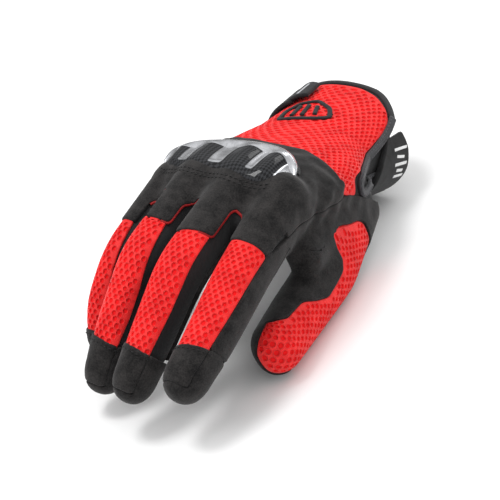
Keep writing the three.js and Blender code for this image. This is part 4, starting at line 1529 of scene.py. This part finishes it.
lift = anchor_lift(t)
v, f = slab(p, n, (lift + WEBBING_HALF)[:, None], (lift - WEBBING_HALF)[:, None], 0.9)
piece("strap_anchor_tab", v, f, [STRAP])
parts = []
BARS = ((110, 123, 6), (112, 120, 0), (110, 123, -6), (112.5, 119.5, -12), (111, 122, -18))
for y0, y1, a0 in BARS:
    line = curve_through([(y0, a0), (y1, a0 - 2.5)], 10)
    q, m = on_hand(line[:, 0], line[:, 1])
    where = np.clip((20 - line[:, 1]) / 65, 0, 1)
    height = anchor_lift(where) + 1.15
    parts.append(swept(q, m, 1.7, 0.5, height, 8))
v, f = joined(parts)
piece("strap_print_bars", v, f, [WHITE])
p, n, t = hand_patch((93, 98, 101, 103), (125, 125, 126, 127), (-45, -75, -105, -131), 70, 30)
flap_lift = 3.2
v, f = slab(p, n, flap_lift + WEBBING_HALF, flap_lift - WEBBING_HALF, 0.9)
flap = make_mesh("strap_flap_webbing", v, f, [STRAP], None, vertex_normals(v, f))
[to_row(x) for x in (on_hand([112], [-44])[0][0], on_hand([112], [-58])[0][0])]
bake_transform(flap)
p, n, t = hand_patch((103, 103, 104, 104, 105), (127, 129, 130, 129, 127), (-131, -160, -190, -215, -232),
                     80, 30)
end_lift = flap_lift - 1.2 * smoothstep(0.1, 0.6, t)
v, f = slab(p, n, (end_lift + 0.9)[:, None], (end_lift - 0.9)[:, None], 0.8)
end_piece = make_mesh("strap_end_webbing", v, f, [STRAP], None, vertex_normals(v, f))
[to_row(x) for x in (on_hand([115], [-128])[0][0], on_hand([115], [-140])[0][0])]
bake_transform(end_piece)
p, n, t = hand_patch((106, 107, 107, 107), (124, 126, 127, 126), (-150, -175, -200, -218), 36, 20)
hook_lift = flap_lift - 1.2 * smoothstep(0.1, 0.6, np.interp(t, (0, 1), (0.19, 0.86))) - 0.9
v, f = slab(p, n, (hook_lift + 0.05)[:, None], (hook_lift - 0.55)[:, None], 0.3)
hook = make_mesh("strap_hook_tape", v, f, [HOOK], None, vertex_normals(v, f))
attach(hook, "strap_tip")
v, f = slab(p, n, 0.45, -0.4, 0.3)
piece("strap_loop_tape", v, f, [HOOK])
p, n, t = hand_patch((106, 107, 110), (128, 128, 126), (-228, -238, -247), 26, 26)
tab_lift = 2.6 + 0.7 * np.sin(np.pi * t)
v, f = slab(p, n, (tab_lift + 0.8)[:, None], (tab_lift - 0.8)[:, None], 0.7)
tab = make_mesh("strap_pull_tab_rubber", v, f, [RUBBER], None, vertex_normals(v, f))
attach(tab, "strap_tip")
q, m = hand_line([(110, 123), (124, 122)], 14)
v, f = swept(q, m, 1.3, 0.6, 4.0, 8)
mark = make_mesh("pull_tab_silver_line", v, f, [SILVER], None, vertex_normals(v, f))
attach(mark, "strap_tip")

# palm heel pad
pad_value = 15 - np.hypot((net_points[:, 1] - 72) * 0.8, (net_angle - 238) * 0.5)
pad_value = np.where((net_label == 0) & (net_points[:, 2] < -5), pad_value, OUTSIDE)
v, f = panel(pad_value, 3.0, 2.6, 0.3)
pad = piece("palm_heel_pad_suede", v, f, [SUEDE])

REPLACED = {
    "knuckle_guard_shell": ["knuckle_guard"], "knuckle_foam_pad": ["knuckle_foam"],
    "cuff_badge_frame": ["cuff_badge"], "cuff_back_red_mesh": ["cuff_back_mesh"],
    "cuff_rear_binding": ["cuff_binding"], "slit_tape": ["slit_binding"],
    "strap_anchor_tab": ["strap_anchor"], "strap_loop_tape": ["strap_loop_patch"],
    "strap_flap_webbing": ["strap_flap"], "strap_end_webbing": ["strap_end"],
    "strap_hook_tape": ["strap_hook_patch"],
    "strap_pull_tab_rubber": ["strap_pull_tab"], "palm_heel_pad_suede": ["palm_heel_pad"],
}
taken = {node for nodes in REPLACED.values() for node in nodes}
for name, nodes in REPLACED.items():
    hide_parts(*nodes)
for nodes in frame["record"]["behaviour"]["bodies"].values():
    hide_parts(*[node for node in nodes if node not in taken])

# ---------------------------------------------------------------- camera, light, floor

CAMERA_AZIMUTH, CAMERA_ELEVATION, CAMERA_ROLL = np.radians([27.0, 18.3, 4.5])
CAMERA_DISTANCE = 589.0
# How far the camera looks aside of the middle finger's knuckle, as slopes.
AIM_RIGHT, AIM_DOWN = 0.0127, 0.03875
CAMERA_BACK = np.array([np.cos(CAMERA_ELEVATION) * np.sin(CAMERA_AZIMUTH),
                        -np.cos(CAMERA_ELEVATION) * np.cos(CAMERA_AZIMUTH), np.sin(CAMERA_ELEVATION)])
level = np.array([np.cos(CAMERA_AZIMUTH), np.sin(CAMERA_AZIMUTH), 0])
above = np.cross(CAMERA_BACK, level)
CAMERA_RIGHT = level * np.cos(CAMERA_ROLL) + above * np.sin(CAMERA_ROLL)
CAMERA_UP = above * np.cos(CAMERA_ROLL) - level * np.sin(CAMERA_ROLL)
camera_data = bpy.data.cameras.new("camera")
camera = bpy.data.objects.new("camera", camera_data)
bpy.context.scene.collection.objects.link(camera)
bpy.context.scene.camera = camera
camera_data.sensor_width = 36
camera_data.lens = 100
aim = unit(AIM_RIGHT * CAMERA_RIGHT - AIM_DOWN * CAMERA_UP - CAMERA_BACK)
right = unit(np.cross(aim, CAMERA_UP))
upward = np.cross(right, aim)
turn = np.stack([TURN @ right, TURN @ upward, TURN @ -aim], 1)
camera_place = Matrix.Translation(Vector(to_row(CAMERA_DISTANCE * CAMERA_BACK)))
camera.matrix_world = camera_place @ Matrix(turn.tolist()).to_4x4()
camera_data.clip_start, camera_data.clip_end = 0.05, 20

world = bpy.data.worlds.new("world")
bpy.context.scene.world = world
world.use_nodes = True
sky = world.node_tree
direction = sky.nodes.new("ShaderNodeTexCoord")
split = sky.nodes.new("ShaderNodeSeparateXYZ")
sky.links.new(direction.outputs["Generated"], split.inputs[0])
shade = sky.nodes.new("ShaderNodeValToRGB")
sky.links.new(split.outputs["Z"], shade.inputs["Fac"])
for k, (at, grey) in enumerate(((0.0, 0.30), (0.30, 0.42), (0.62, 1.02), (1.0, 1.02))):
    stop = shade.color_ramp.elements[k] if k < 2 else shade.color_ramp.elements.new(at)
    stop.position, stop.color = at, (grey, grey, grey, 1)
sky.links.new(shade.outputs["Color"], sky.nodes["Background"].inputs["Color"])
sky.nodes["Background"].inputs["Strength"].default_value = 1.0
bpy.context.scene.view_settings.view_transform = "Standard"


def area_light(name, place, target, size, power):
    data = bpy.data.lights.new(name, "AREA")
    data.shape = "RECTANGLE"
    data.size, data.size_y = size
    data.energy = power
    lamp = bpy.data.objects.new(name, data)
    lamp.location = place
    lamp.rotation_mode = "QUATERNION"
    lamp.rotation_quaternion = (Vector(target) - Vector(place)).to_track_quat("-Z", "Y")
    bpy.context.scene.collection.objects.link(lamp)


area_light("overhead", (-0.15, -0.15, 0.85), (0, 0, 0.04), (0.26, 0.22), 2.9)
area_light("left", (-0.9, -0.45, 0.55), (0, 0, 0.04), (0.3, 0.3), 2.0)
area_light("right", (0.8, -0.7, 0.5), (0, 0, 0.04), (0.4, 0.4), 1.3)
area_light("behind", (0.25, 0.9, 0.7), (0, 0, 0.04), (0.6, 0.3), 2.0)

FLOOR_HEIGHT = -0.0013
FLOOR_CORNERS = [(x, y, FLOOR_HEIGHT) for x, y in ((-3, -3), (3, -3), (3, 3), (-3, 3))]
floor = make_mesh("floor", FLOOR_CORNERS, [(0, 1, 2, 3)],
                  [plain("floor", (0.93, 0.93, 0.93), 0.8)], hand=False)
